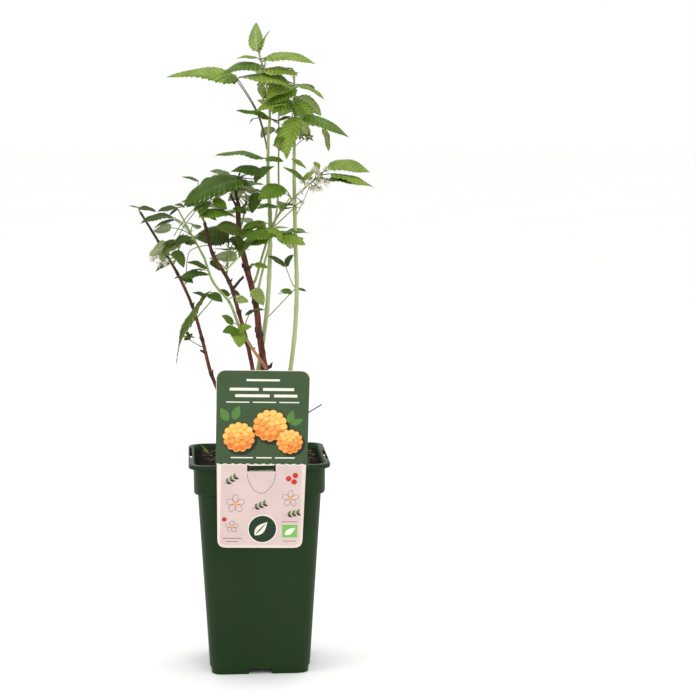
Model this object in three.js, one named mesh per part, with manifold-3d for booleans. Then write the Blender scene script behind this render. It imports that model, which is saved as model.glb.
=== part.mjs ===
// A raspberry cane in a square nursery pot, with its hanging plant label.
// Millimetres, +Z up, +X to the right of the label, the label on the -Y side.
// The origin is at the centre of the underside of the pot.
import * as THREE from "three";
import { mergeVertices } from "three/addons/utils/BufferGeometryUtils.js";
import Module from "manifold-3d";

const wasm = await Module();
wasm.setup();

// ---------------------------------------------------------------- driving dimensions
const POT = {
  height: 200,
  rimWidth: 130,
  rimOpening: 120.5,
  lip: 4.4,
  collarWidth: 120.5,
  collarDrop: 28.6,
  bodyTopWidth: 113.5,
  bodyFootWidth: 93.5,
  footWidth: 90,
  footHeight: 5,
  floorTop: 8,
  wall: 1.8,
  corner: 12,
  channelWidth: 21,
  bossWidth: 18,
  slotLength: 30,
  slotWidth: 2.3,
  slotInset: 1.2,
};
const SOIL = { top: 195, edgeDrop: 2, flatWidth: 96 };
const LABEL = {
  middle: 1.2,
  top: 289.3,
  bottom: 122.2,
  topWidth: 84.8,
  bottomWidth: 78,
  thickness: 0.8,
  corner: 8,
  leanForward: 6,
  tilt: 1.2,
  clearOfRim: 0.9,
  windowWidth: 26,
  windowDrop: 5.5,
  tongueWidth: 23,
  tongueDrop: 12,
};
const GAP = 0.3;
// The height of the crown the canes grow from. They are cut off flat just above the soil.
const CROWN_HEIGHT = 187.3;
const CORNER_STEPS = 4;

// Each cane climbs in steps from its foot at the crown. A lean is the angle of one step from the
// vertical, in degrees, towards the heading. Headings turn from +X (0) to +Y (90). A stub is what
// is left of a dead side shoot: its height, heading, rise, length and girth.
const CANES = {
  cane_left: {
    foot: [-3, -8], heading: 184, step: 33, leans: [24, 25, 23, 14, 16, 24, 30, 31],
    girth: [4.2, 2.2], colour: 0x5f3730, stubs: [[297, 190, 30, 6, 2.8]],
  },
  cane_middle_left: {
    foot: [12, -8], heading: 178, step: 30, leans: [10, 10, 10, 11, 15, 17, 30, 14],
    girth: [4.6, 3.2], colour: 0x5f3730, stubs: [[355, 0, 50, 17, 3.2]],
  },
  cane_middle: {
    foot: [20, 2], heading: 180, step: 31.5, leans: [8, 8, 8, 8, 7, 14, 12, 3],
    girth: [7.6, 4.8], colour: 0x54312b, stubs: [[428, 150, 62, 17, 2.6], [426, 10, 52, 14, 2.4]],
  },
  cane_crossing: {
    foot: [24, -16], heading: 180, step: 24, leans: [2, 6, 10, 20, 33, 30, 22, 38, 20],
    girth: [3.6, 2.2], colour: 0xb07a3a,
  },
  cane_tall: {
    foot: [-13, 12], heading: 0, step: 30, leans: [9, 9, 9, 9, 8, 4, 2, 0, -3],
    girth: [5.2, 3.6], colour: 0xa9bb7c,
  },
  cane_right: {
    foot: [21, 8], heading: 0, step: 30, leans: [6, 7, 7, 7, 4, 1, -2, -1, -1],
    girth: [4.8, 3.6], colour: 0xa9bb7c, stubs: [[221, 355, 34, 44, 1.6]],
  },
};
// A side stem springs from a cane at a height above the ground.
const SIDE_STEMS = {
  stem_back: {
    cane: "cane_middle", height: 352, heading: 14, step: 26, leans: [14, 16, 12, 4],
    girth: [2.4, 1.8], colour: 0x8f9f7c,
  },
};
const KNOT_SWELL = 1.16;
const CANE_SIDES = 8;
const STUB_SIDES = 5;
const MASS_COLOUR = 0x5c8040;

// Leaves of a mass, one row each: place along the stem (0 to 1), heading, rise of the petiole,
// its length, length of the end leaflet, rise of that leaflet, roll, number of leaflets, how far
// the leaflet turns from the petiole, and its width as a share of its length. Angles in degrees,
// lengths in millimetres.
const MASSES = {
  leaves_tall_top: {
    cane: "cane_tall", heading: 0, step: 20, leans: [0, 1, 4, -5, -9, -15], girth: [3.4, 1.8],
    leaves: [
      [1, 180, 29, 1, 28, 78, 38, 1, 69],
      [0.97, 0, 85, 6, 21, 60, -14, 1, 18],
      [0.94, 335, 15, 5, 50, -7, 20, 1, 12, 0.62],
      [0.93, 207, 31, 5, 21, -3, -16, 1, -9],
      [0.89, 235, 4, 4, 40, -13, -18, 1, -36, 0.7],
      [0.82, 265, 47, 6, 35, -9, 14, 1, 70, 0.8],
      [0.22, 177, 68, 72, 70, 2, -28, 1, 0, 0.42],
      [0.22, 188, 66, 75, 59, -10, 10, 1, 146],
      [0.78, 117, -31, 10, 15, -62, -12, 1, -48],
      [0.17, 180, 5, 5, 47, 3, -12, 1, 13, 0.5],
      [0.16, 256, 14, 6, 19, -9, 24, 1, 75, 0.7],
      [0.78, 95, 35, 16, 36, -6, 0, 1],
      [0.7, 60, 30, 12, 30, -10, 0, 3],
      [0.56, 92, 30, 14, 32, -14, 0, 1],
      [0.62, 75, 25, 12, 30, -16, 0, 1],
    ],
  },
  leaves_right_top: {
    cane: "cane_right", heading: 0, step: 20, leans: [0, 1, 1, 0, -2], girth: [3.4, 1.8],
    leaves: [
      [1, 120, 30, 6, 18, -10, 0, 1],
      [0.86, 0, 35, 3, 31, -28, 8, 1, -14],
      [0.77, 249, -37, 8, 40, -14, -26, 1, -43],
      [0.77, 272, -38, 10, 35, -18, -4, 1, -46, 0.5],
      [0.77, 32, -7, 4, 31, -36, -34, 1, -12],
      [0.74, 272, -18, 11, 27, -35, -36, 1, 7, 0.7],
      [0.72, 315, -48, 17, 49, -26, 16, 1, 28],
      [0.6, 12, -25, 31, 23, -75, 10, 1, 20],
      [0.66, 273, -27, 18, 42, -71, -4, 1, -55, 0.75],
      [0.66, 240, -63, 21, 25, -42, -8, 1, -33, 0.8],
      [0.78, 249, 43, 12, 32, -26, -18, 1, -43, 0.85],
      [0.22, 180, -61, 3, 17, -35, 14, 1, 162],
      [0.84, 60, 20, 12, 30, -14, 0, 1],
      [0.7, 70, 25, 14, 34, -16, 0, 1],
      [0.52, 70, 20, 12, 30, -20, 0, 1],
      [0.35, 105, 25, 12, 32, -22, 0, 1],
    ],
    buds: [[0.3, 330, 32, 18, 7], [0.36, 320, 30, 9, 6], [0.46, 190, -5, 14, 4]],
  },
  leaves_back_top: {
    cane: "stem_back", heading: 0, step: 18, leans: [0, 1, 0, 0], girth: [1.8, 1.2],
    leaves: [
      [0.75, 208, 25, 12, 33, 11, -26, 1, -16, 0.5],
      [0.78, 180, 5, 24, 7, -54, -16, 1],
      [0.78, 0, 64, 1, 13, 16, 30, 1, -15],
      [0.9, 98, 20, 14, 24, -14, 0, 1],
      [0.4, 80, 30, 12, 28, -20, 0, 1],
    ],
  },
  leaves_middle_crown: {
    cane: "cane_middle", heading: 0, step: 7, leans: [-12, -2, 14, 20], girth: [3.4, 1.6],
    leaves: [
      [0.8, 15, 12, 25, 34, 2, -28, 1, -176, 0.75],
      [0.8, 8, -4, 15, 25, 30, 38, 1, -31, 0.85],
      [0.75, 338, 0, 5, 66, -22, -12, 1, -136, 0.5],
      [0.6, 52, 16, 8, 33, -31, 26, 1, 106],
      [0.5, 360, 63, 6, 12, -26, 46, 1, -26],
      [0.4, 354, -8, 21, 22, -66, -4, 1, -130, 0.8],
      [0.2, 315, -50, 18, 15, 8, -40, 1, -109, 0.7],
      [0.6, 78, 15, 12, 28, -16, 0, 1],
      [0.4, 80, 10, 10, 24, -20, 0, 3],
    ],
  },
  leaves_flowering: {
    cane: "cane_middle", height: 362, heading: 346, step: 30, leans: [17, 21, 41, 50], girth: [2.4, 1.4],
    leaves: [
      [1, 0, 49, 10, 41, -7, 20, 1, -9, 0.75],
      [1, 326, 8, 11, 44, -17, 8, 1, 17, 0.5],
      [0.97, 330, -6, 12, 30, -12, 16, 1, 17],
      [0.93, 0, 66, 12, 10, 49, -74, 1, -148, 0.85],
      [0.85, 234, 61, 10, 23, 28, -32, 1, -36],
      [0.85, 245, 48, 10, 15, 35, 46, 1, 94],
      [0.53, 0, 70, 8, 20, 3, 0, 1],
      [0.62, 195, 15, 8, 22, -4, -14, 1, 3],
      [0.62, 206, 27, 5, 16, 3, 12, 1, 138],
      [0.7, 218, 52, 16, 29, -23, -26, 1, -20, 0.85],
      [0.45, 201, 25, 12, 24, -23, -8, 1],
      [0.42, 274, 5, 12, 35, -17, -16, 1, -59, 0.75],
      [0.4, 265, 20, 13, 23, -30, 0, 1, 34, 0.7],
      [0.42, 285, -15, 6, 27, -28, -8, 1, -78, 0.7],
      [0.38, 312, -10, 11, 28, -14, 30, 1, 35, 0.7],
      [0.38, 345, 8, 8, 31, 0, 8, 1, 23, 0.5],
      [0.3, 109, 83, 18, 18, -8, -38, 1, 50],
      [0.1, 214, 52, 6, 14, -16, 32, 1, 127],
      [0.1, 210, 47, 6, 7, -27, -20, 1, 3],
      [0.3, 200, 34, 21, 13, -23, -60, 1, 3],
    ],
    buds: [
      [1, 300, 30, 10, 6], [0.98, 20, -20, 9, 6], [0.95, 270, 50, 10, 6], [0.92, 330, -40, 9, 6],
      [0.9, 250, 0, 9, 5], [0.78, 280, 10, 9, 5], [0.75, 250, -30, 9, 5], [0.74, 330, -35, 8, 5],
    ],
  },
  leaf_pale: {
    cane: "cane_middle", height: 352, heading: 285, step: 3, leans: [40], girth: [1.4, 1],
    leaves: [
      [1, 233, 10, 5, 19, -55, 36, 1, 109, 0.85],
    ],
  },
  leaves_middle_left_low: {
    cane: "cane_middle_left", height: 323, heading: 320, step: 13, leans: [27], girth: [1.2, 1],
    leaves: [
      [1, 0, 32, 3, 10, -33, -18, 1, -157, 0.7],
      [1, 0, 34, 4, 12, -1, 18, 1, -17],
    ],
  },
  leaves_middle_left: {
    cane: "cane_middle_left", height: 370, heading: 80, step: 12, leans: [35], girth: [2.2, 1.6],
    leaves: [
      [1, 321, 63, 35, 29, 4, -40, 1, -110, 0.7],
      [1, 81, 72, 26, 34, -3, -48, 1, 95, 0.68],
      [1, 41, 82, 21, 22, -14, -20, 1, 156],
      [1, 325, 81, 23, 15, -24, 32, 1, -6],
      [0.3, 34, 43, 15, 28, 1, 46, 1, 164],
      [0.3, 150, 28, 18, 14, -49, 36, 1, -179, 0.75],
      [1, 75, 50, 14, 24, 0, 0, 3],
    ],
  },
  leaves_middle_left_top: {
    cane: "cane_middle_left", heading: 180, step: 12, leans: [30, 35], girth: [2.4, 1.4],
    leaves: [
      [0.1, 314, 64, 19, 20, -53, -2, 1, -102],
      [0.3, 290, 29, 7, 25, -7, 36, 1, 44],
      [0.3, 329, 43, 22, 17, -35, 18, 1, -7, 0.7],
      [0.2, 330, 34, 10, 27, -12, 14, 1, 16],
      [0.6, 312, 32, 13, 16, -39, -10, 1, -100],
      [0.5, 85, 78, 28, 17, 14, -20, 1, 110],
      [0.5, 58, 75, 27, 16, 16, 28, 1, -74],
      [0.6, 90, 20, 12, 24, -10, 0, 1],
    ],
  },
  leaves_crossing_top: {
    cane: "cane_crossing", heading: 180, step: 26, leans: [28, 28], girth: [2.2, 1.3],
    leaves: [
      [1, 334, 9, 7, 11, 9, -36, 1, -124],
      [1, 260, 3, 4, 20, -11, -20, 1, -54],
      [1, 263, -16, 4, 11, -35, 4, 1, -46],
      [0.55, 218, 33, 24, 34, -10, -18, 1, -11, 0.5],
      [0.55, 218, 32, 19, 24, -19, -6, 1, -15],
      [0.45, 192, 20, 21, 21, -9, 58, 1, 20, 0.62],
    ],
  },
  leaves_left_tip: {
    cane: "cane_left", heading: 180, step: 4, leans: [20], girth: [1.8, 1.2],
    leaves: [
      [1, 194, 10, 1, 10, 10, -14, 1],
      [1, 0, -20, 1, 18, -12, 20, 1, -21, 0.5],
      [0.8, 0, -26, 2, 12, 10, -32, 1, 72],
    ],
  },
  leaves_left_rosette: {
    cane: "cane_left", height: 380, heading: 315, step: 15, leans: [25, 22], girth: [1.6, 1.1],
    leaves: [
      [0.55, 191, 10, 11, 22, -22, 72, 1, 22, 0.7],
      [0.55, 146, -10, 16, 15, -60, 8, 1, -31, 0.7],
      [0.75, 216, 4, 7, 14, -16, -24, 1, -6],
      [0.8, 215, -15, 7, 19, 15, 48, 1, 117, 0.65],
      [0.7, 153, -8, 5, 13, -42, 40, 1, -15, 0.7],
      [0.8, 319, -17, 6, 12, -6, 40, 1, 14],
      [0.35, 251, 20, 7, 20, -52, 18, 1, 64, 0.7],
      [0.1, 202, -21, 6, 17, -27, -8, 1, 4],
    ],
    buds: [[0.3, 205, -8, 24, 6], [0.25, 212, 0, 18, 6]],
  },
  leaves_left_middle: {
    cane: "cane_left", height: 361, heading: 325, step: 3, leans: [50], girth: [1.4, 1.1],
    leaves: [
      [1, 205, 46, 7, 28, 5, 28, 1, 138, 0.5],
      [1, 224, 39, 7, 16, -17, 18, 1, 90, 0.7],
      [1, 24, 63, 11, 18, -1, 8, 1, -10],
      [1, 339, 34, 24, 21, 18, -24, 1, -140],
      [1, 206, 49, 7, 9, -12, -16, 1, -3],
    ],
  },
  leaf_drooping: {
    cane: "cane_left", height: 331, heading: 322, step: 27, leans: [46], girth: [1.2, 1],
    leaves: [
      [1, 180, 55, 7, 77, -65, -18, 1, 11, 0.15],
      [1, 180, 9, 8, 15, 16, -32, 1, 23],
      [1, 180, 33, 5, 16, -26, 28, 1, 153, 0.75],
    ],
  },
  leaves_left_low: {
    cane: "cane_left", height: 304, heading: 180, step: 19, leans: [60], girth: [1.1, 0.9],
    leaves: [
      [1, 348, 12, 6, 7, 28, -62, 1, -129, 0.75],
      [1, 6, 0, 6, 6, 36, 66, 1, -54, 0.75],
      [1, 0, -16, 6, 8, -12, -18, 1, -144, 0.7],
      [1, 14, -6, 7, 6, -13, 24, 1, 10],
    ],
  },
  leaves_crossing_low: {
    cane: "cane_crossing", height: 322, heading: 270, step: 3, leans: [70], girth: [1.3, 1],
    leaves: [
      [1, 180, -46, 4, 16, -9, -32, 1, 25, 0.85],
      [1, 180, -67, 4, 15, 14, 48, 1, 154, 0.8],
      [1, 180, -70, 6, 17, -58, -22, 1, 95, 1.0],
      [1, 147, 21, 8, 15, 30, -50, 1, 59, 0.75],
    ],
  },
  leaf_crossing_small: {
    cane: "cane_crossing", height: 347, heading: 330, step: 5, leans: [60], girth: [1.1, 0.9],
    leaves: [
      [1, 0, -25, 4, 13, -15, 42, 1, -21, 0.8],
    ],
  },
  leaves_middle_left_small: {
    cane: "cane_middle_left", height: 352, heading: 90, step: 4, leans: [65], girth: [1.1, 0.9],
    leaves: [
      [1, 180, -42, 5, 12, 31, -52, 1, 25, 0.65],
      [1, 360, -16, 1, 9, -29, 54, 1, 34, 0.7],
    ],
  },
  leaves_right_middle: {
    cane: "cane_right", height: 358, heading: 185, step: 20, leans: [22], girth: [1.1, 0.9],
    leaves: [
      [1, 198, 28, 1, 20, 28, -36, 1],
      [1, 329, 51, 1, 14, 51, 58, 1, 0, 0.7],
    ],
  },
  leaves_tall_low: {
    cane: "cane_tall", height: 330, heading: 15, step: 28, leans: [46], girth: [1.1, 0.9],
    leaves: [
      [1, 360, 63, 3, 13, 2, -36, 1, -155, 0.75],
      [1, 360, 42, 7, 13, -9, 18, 1, -26],
      [1, 180, 30, 2, 11, -5, -10, 1, -12],
    ],
  },
  leaves_back_middle: {
    cane: "cane_middle", height: 412, heading: 75, step: 20, leans: [50, 35], girth: [2.2, 1.4],
    leaves: [
      [0.6, 55, 20, 12, 28, -8, 0, 1],
      [1, 110, 20, 10, 34, -10, 0, 3],
      [1, 75, 0, 8, 26, -25, 0, 1],
      [0.5, 120, 10, 10, 26, -15, 0, 3],
      [0.3, 75, 5, 8, 24, -20, 0, 1],
    ],
  },
  leaves_back_right: {
    cane: "cane_right", height: 392, heading: 98, step: 18, leans: [72, 66], girth: [2, 1.3],
    leaves: [
      [0.7, 70, 5, 10, 26, -14, 0, 1],
      [1, 100, 5, 10, 30, -16, 0, 3],
      [1, 78, -10, 8, 24, -26, 0, 1],
      [0.4, 90, 5, 8, 24, -20, 0, 1],
    ],
  },
};
const LEAFLET_SPREAD = 68;
const LEAFLET_WIDTH = 0.58;
const SIDE_LEAFLET = 0.82;
// The bend of a leaflet from its base to its tip: for one 30 mm long, what each mm more adds, and
// how far single leaflets stray from it.
const LEAF_ARCH = { usual: 34, perLength: 0.4, stray: 12 };
const USUAL_LEAFLET = 30;
// How far the widths, angles and lengths of leaflets stray from what the tables give.
const STRAY = { width: 0.08, spread: 6, length: 0.06 };
const LEAF_STATIONS = [0, 0.16, 0.45, 0.78];
const PETIOLE_BENDS = [8, -8];
const STALK_SHARE = 0.16;
const SUNK = 0.9;

// ---------------------------------------------------------------- small helpers
const vector = (x, y, z) => new THREE.Vector3(x, y, z);
const radians = THREE.MathUtils.degToRad;

// Direction with a heading about Z and a rise above the horizontal.
function direction(heading, rise) {
  const flat = Math.cos(radians(rise));
  return vector(
    flat * Math.cos(radians(heading)),
    flat * Math.sin(radians(heading)),
    Math.sin(radians(rise)),
  );
}

// A repeatable stream of numbers between -1 and 1.
function scatter(seed) {
  let state = seed * 7919 + 17;
  return () => {
    state = (state * 16807) % 2147483647;
    return (2 * state) / 2147483647 - 1;
  };
}

// Turns corners and triangles into a closed solid that faces outwards.
function solid(corners, triangles) {
  const positions = new Float32Array(corners.flatMap((c) => [c.x, c.y, c.z]));
  let doubled = 0;
  for (const [a, b, c] of triangles)
    doubled += corners[a].clone().cross(corners[b]).dot(corners[c]);
  const facing = doubled < 0 ? triangles.map(([a, b, c]) => [a, c, b]) : triangles;
  return new wasm.Manifold(
    new wasm.Mesh({
      numProp: 3,
      vertProperties: positions,
      triVerts: new Uint32Array(facing.flat()),
    }),
  );
}

// A closed solid through rings of corners, with a flat or pointed end at each side.
function loft(rings, lastPoint) {
  const corners = rings.flat();
  const sides = rings[0].length;
  const triangles = [];
  for (let ring = 0; ring + 1 < rings.length; ring++)
    for (let side = 0; side < sides; side++) {
      const a = ring * sides + side;
      const b = ring * sides + ((side + 1) % sides);
      triangles.push([a, b, b + sides], [a, b + sides, a + sides]);
    }
  for (let side = 1; side + 1 < sides; side++) triangles.push([0, side + 1, side]);
  const last = (rings.length - 1) * sides;
  if (lastPoint) {
    corners.push(lastPoint);
    for (let side = 0; side < sides; side++)
      triangles.push([last + side, last + ((side + 1) % sides), corners.length - 1]);
  } else {
    for (let side = 1; side + 1 < sides; side++)
      triangles.push([last, last + side, last + side + 1]);
  }
  return solid(corners, triangles);
}

// A three.js geometry as a solid.
function solidOf(geometry) {
  geometry.deleteAttribute("normal");
  geometry.deleteAttribute("uv");
  const merged = mergeVertices(geometry, 1e-3);
  return new wasm.Manifold(
    new wasm.Mesh({
      numProp: 3,
      vertProperties: new Float32Array(merged.attributes.position.array),
      triVerts: new Uint32Array(merged.index.array),
    }),
  );
}

// A box with its middle at a place.
function box(width, depth, height, x, y, z) {
  return solidOf(new THREE.BoxGeometry(width, depth, height).translate(x, y, z));
}

function meshOf(name, shape, colour, roughness) {
  const { vertProperties, triVerts, numProp } = shape.getMesh();
  const count = vertProperties.length / numProp;
  const positions = new Float32Array(count * 3);
  for (let i = 0; i < count; i++)
    positions.set(vertProperties.subarray(i * numProp, i * numProp + 3), i * 3);
  const geometry = new THREE.BufferGeometry();
  geometry.setAttribute("position", new THREE.BufferAttribute(positions, 3));
  geometry.setIndex(new THREE.BufferAttribute(new Uint32Array(triVerts), 1));
  geometry.computeVertexNormals();
  const material = new THREE.MeshStandardMaterial({ color: colour, roughness, metalness: 0 });
  const mesh = new THREE.Mesh(geometry, material);
  mesh.name = name;
  return mesh;
}

// ---------------------------------------------------------------- pot, soil and label
// Corners of a square with round corners, at a height.
function roundedSquare(width, corner, z) {
  const inset = width / 2 - corner;
  const ring = [];
  for (let quarter = 0; quarter < 4; quarter++)
    for (let step = 0; step <= CORNER_STEPS; step++) {
      const angle = (quarter + step / CORNER_STEPS) * (Math.PI / 2);
      const turn = quarter * (Math.PI / 2) + Math.PI / 4;
      ring.push(
        vector(
          Math.sign(Math.cos(turn)) * inset + corner * Math.cos(angle),
          Math.sign(Math.sin(turn)) * inset + corner * Math.sin(angle),
          z,
        ),
      );
    }
  return ring;
}

const collarFoot = POT.height - POT.collarDrop;
const lipFoot = POT.height - POT.lip;
const bodyWidthAt = (z) =>
  THREE.MathUtils.mapLinear(z, POT.footHeight + 2, collarFoot, POT.bodyFootWidth, POT.bodyTopWidth);

// The rim's four slots stand just inside the outer edge of the rim.
const slotMiddle = POT.rimWidth / 2 - POT.slotInset - POT.slotWidth / 2;

function makePot() {
  const { height, rimWidth, rimOpening, collarWidth, footWidth, footHeight, floorTop, wall, corner } = POT;
  const inner = corner - wall;
  let pot = loft([
    roundedSquare(footWidth, corner - 2, 0),
    roundedSquare(footWidth + 1, corner - 2, footHeight),
    roundedSquare(bodyWidthAt(footHeight + 2), corner, footHeight + 2),
    roundedSquare(bodyWidthAt(collarFoot), corner, collarFoot),
    roundedSquare(collarWidth - 1.5, corner + 1, collarFoot + 0.2),
    roundedSquare(collarWidth, corner + 1, collarFoot + 2),
    roundedSquare(collarWidth + 0.5, corner + 1, lipFoot),
    roundedSquare(rimWidth - 1, corner + 2, lipFoot + 0.3),
    roundedSquare(rimWidth, corner + 2, lipFoot + 1),
    roundedSquare(rimWidth, corner + 2, height - 0.7),
    roundedSquare(rimWidth - 1.2, corner + 2, height),
    roundedSquare(rimOpening, corner, height),
    roundedSquare(collarWidth - 2 * wall, inner, lipFoot),
    roundedSquare(collarWidth - 2 * wall, inner, collarFoot + 3),
    roundedSquare(bodyWidthAt(collarFoot) - 2 * wall, inner, collarFoot),
    roundedSquare(bodyWidthAt(floorTop) - 2 * wall, inner, floorTop),
  ]);
  for (const across of [true, false]) {
    const long = 2 * rimWidth;
    const size = across ? [long, POT.channelWidth] : [POT.channelWidth, long];
    pot = pot.subtract(box(size[0], size[1], 2 * footHeight, 0, 0, 0));
  }
  const boss = new THREE.CylinderGeometry(POT.bossWidth / 2, POT.bossWidth / 2, footHeight + 1, 16);
  boss.rotateX(Math.PI / 2).translate(0, 0, (footHeight + 1) / 2);
  pot = pot.add(solidOf(boss));
  for (const side of [-1, 1]) {
    const place = side * slotMiddle;
    const depth = 2 * POT.lip + 0.2;
    pot = pot.subtract(box(POT.slotLength, POT.slotWidth, depth, 0, place, height));
    pot = pot.subtract(box(POT.slotWidth, POT.slotLength, depth, place, 0, height));
  }
  return pot;
}

function makeSoil() {
  const { floorTop, wall, corner, collarWidth } = POT;
  const slack = 2 * wall + 2 * GAP;
  const inner = corner - wall - GAP;
  return loft([
    roundedSquare(bodyWidthAt(floorTop) - slack, inner, floorTop + GAP),
    roundedSquare(bodyWidthAt(collarFoot) - slack, inner, collarFoot),
    roundedSquare(collarWidth - slack, inner, collarFoot + 3.4),
    roundedSquare(collarWidth - slack, inner, SOIL.top - SOIL.edgeDrop),
    roundedSquare(SOIL.flatWidth, corner, SOIL.top),
  ]);
}

// The card stands in front of the lip. Its window lets the lip through, and the tongue cut out
// there goes back over the edge of the rim and down through the rim's front slot.
function makeLabel() {
  const { top, bottom, thickness, corner, windowWidth, windowDrop, tongueWidth, tongueDrop } = LABEL;
  const rimTop = POT.height + GAP;
  const halfWidth = (z) =>
    THREE.MathUtils.mapLinear(z, bottom, top, LABEL.bottomWidth / 2, LABEL.topWidth / 2);
  const card = new THREE.Shape();
  card.moveTo(-halfWidth(bottom) + corner, bottom);
  card.lineTo(halfWidth(bottom) - corner, bottom);
  card.quadraticCurveTo(halfWidth(bottom), bottom, halfWidth(bottom), bottom + corner);
  card.lineTo(halfWidth(top), top - corner);
  card.quadraticCurveTo(halfWidth(top), top, halfWidth(top) - corner, top);
  card.lineTo(-halfWidth(top) + corner, top);
  card.quadraticCurveTo(-halfWidth(top), top, -halfWidth(top), top - corner);
  card.lineTo(-halfWidth(bottom), bottom + corner);
  card.quadraticCurveTo(-halfWidth(bottom), bottom, -halfWidth(bottom) + corner, bottom);
  const window = new THREE.Path();
  const windowFoot = rimTop - windowDrop;
  window.moveTo(-windowWidth / 2, windowFoot);
  window.lineTo(-windowWidth / 2, rimTop + thickness);
  window.lineTo(windowWidth / 2, rimTop + thickness);
  window.lineTo(windowWidth / 2, windowFoot);
  window.closePath();
  card.holes.push(window);
  const flat = new THREE.ExtrudeGeometry(card, { depth: thickness, bevelEnabled: false, curveSegments: 4 });
  flat.translate(0, -rimTop, 0).rotateZ(radians(-LABEL.tilt));
  flat.rotateX(Math.PI / 2 + radians(LABEL.leanForward));
  const face = -POT.rimWidth / 2 - LABEL.clearOfRim;
  flat.translate(LABEL.middle, face, rimTop);
  const tongueBack = -slotMiddle + thickness / 2;
  const bridgeDepth = tongueBack - (face - thickness);
  const bridge = box(
    tongueWidth, bridgeDepth, thickness, LABEL.middle, tongueBack - bridgeDepth / 2, rimTop + thickness / 2,
  );
  const shoulder = box(tongueWidth, thickness, 2, LABEL.middle, face - thickness / 2, rimTop + 1);
  const hook = box(
    tongueWidth, thickness, tongueDrop, LABEL.middle, -slotMiddle, rimTop + thickness - tongueDrop / 2,
  );
  return solidOf(flat).add(shoulder).add(bridge).add(hook);
}

// ---------------------------------------------------------------- canes and stems
// Places along a cane or stem: it takes one step for each lean.
function climb(start, heading, step, leans) {
  const places = [start.clone()];
  for (const lean of leans)
    places.push(places.at(-1).clone().addScaledVector(direction(heading, 90 - lean), step));
  return places;
}

// The point at a share of a route's length.
function along(places, share) {
  const reach = share * (places.length - 1);
  const before = Math.min(Math.floor(reach), places.length - 2);
  return places[before].clone().lerp(places[before + 1], reach - before);
}

// A tapering tube with flat ends. A knotted one swells at each joint.
function limb(places, girth, sides, knotted) {
  const stops = [];
  const last = places.length - 1;
  places.forEach((place, i) => {
    const width = THREE.MathUtils.lerp(girth[0], girth[1], i / last);
    const swell = knotted && i > 0 && i < last ? KNOT_SWELL : 1;
    if (knotted && i > 0)
      stops.push({ place: along(places, (i - 0.5) / last), radius: (width / 2) * 0.98 });
    stops.push({ place, radius: (width / 2) * swell });
  });
  const rings = stops.map(({ place, radius }, i) => {
    const before = stops[Math.max(i - 1, 0)].place;
    const after = stops[Math.min(i + 1, stops.length - 1)].place;
    const ahead = after.clone().sub(before).normalize();
    const across = vector(1, 0.3, 0).cross(ahead).normalize();
    const up = ahead.clone().cross(across);
    const flatFoot = i === 0 && knotted;
    if (flatFoot) {
      across.set(0, 1, 0);
      up.set(-1, 0, 0);
    }
    const ring = [];
    for (let side = 0; side < sides; side++) {
      const angle = (2 * Math.PI * side) / sides;
      ring.push(
        place
          .clone()
          .addScaledVector(across, radius * Math.cos(angle))
          .addScaledVector(up, radius * Math.sin(angle)),
      );
    }
    return ring;
  });
  return loft(rings);
}

// The point of a cane at a height above the ground, the way it runs there and how thick it is.
function caneAt(cane, height) {
  const above = cane.places.findIndex((point) => point.z > height);
  const low = cane.places[above - 1];
  const high = cane.places[above];
  const share = (height - low.z) / (high.z - low.z);
  const axis = high.clone().sub(low).normalize();
  const point = low.clone().lerp(high, share);
  const grown = (above - 1 + share) / (cane.places.length - 1);
  return { point, axis, width: THREE.MathUtils.lerp(cane.girth[0], cane.girth[1], grown) };
}

// A dead stub, sunk into its cane.
function stubOf(cane, [height, heading, rise, length, width]) {
  const { point } = caneAt(cane, height);
  const tip = point.clone().addScaledVector(direction(heading, rise), length);
  return limb([point, tip], [width, 0.7 * width], STUB_SIDES, false);
}

// Where a side stem starts so that its round foot stays just clear of its cane.
function sideStart(cane, height, heading, lean, width) {
  const { point, axis, width: caneWidth } = caneAt(cane, height);
  const ahead = direction(heading, 90 - lean);
  const outward = ahead.clone().addScaledVector(axis, -ahead.dot(axis)).normalize();
  const facing = ahead.dot(outward);
  const reach = (caneWidth / 2) * KNOT_SWELL + GAP + (width / 2) * Math.sqrt(1 - facing * facing);
  return point.addScaledVector(outward, reach);
}

// ---------------------------------------------------------------- leaves
// Half width of a leaflet at a share of its length, as a share of its widest.
const leafOutline = (share) => Math.sin(Math.PI * share ** 0.62) ** 0.8;

// One leaflet: an arched blade with a keel below its middle, which ends in a point.
function leaflet(base, frame, length, width, arch) {
  const { ahead, side, normal } = frame;
  const keel = Math.max(0.9, 0.03 * length);
  // The middle line bends evenly from above its chord to below it.
  const middle = (share) => {
    const pieces = 6;
    const step = (share * length) / pieces;
    const point = base.clone();
    for (let i = 0; i < pieces; i++) {
      const bend = radians(arch) * (0.5 - (share * (i + 0.5)) / pieces);
      point.addScaledVector(ahead, step * Math.cos(bend));
      point.addScaledVector(normal, step * Math.sin(bend));
    }
    return point;
  };
  const rings = LEAF_STATIONS.map((share) => {
    const half = Math.max((width / 2) * leafOutline(share), 0.7);
    const point = middle(share);
    return [
      point.clone().addScaledVector(side, half),
      point.clone().addScaledVector(side, -half),
      point.clone().addScaledVector(normal, -keel),
    ];
  });
  return loft(rings, middle(1));
}

// The plane of a leaf: which way it points, its right-hand side and its upper face.
function leafFrame(heading, rise, roll) {
  const ahead = direction(heading, rise);
  const level = vector(Math.sin(radians(heading)), -Math.cos(radians(heading)), 0);
  const side = level.clone().applyAxisAngle(ahead, radians(roll));
  return { ahead, side, normal: side.clone().cross(ahead) };
}

// The same plane turned about its upper face.
function turned(frame, angle) {
  const ahead = frame.ahead.clone().applyAxisAngle(frame.normal, radians(angle));
  return { ahead, side: ahead.clone().cross(frame.normal), normal: frame.normal };
}

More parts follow.
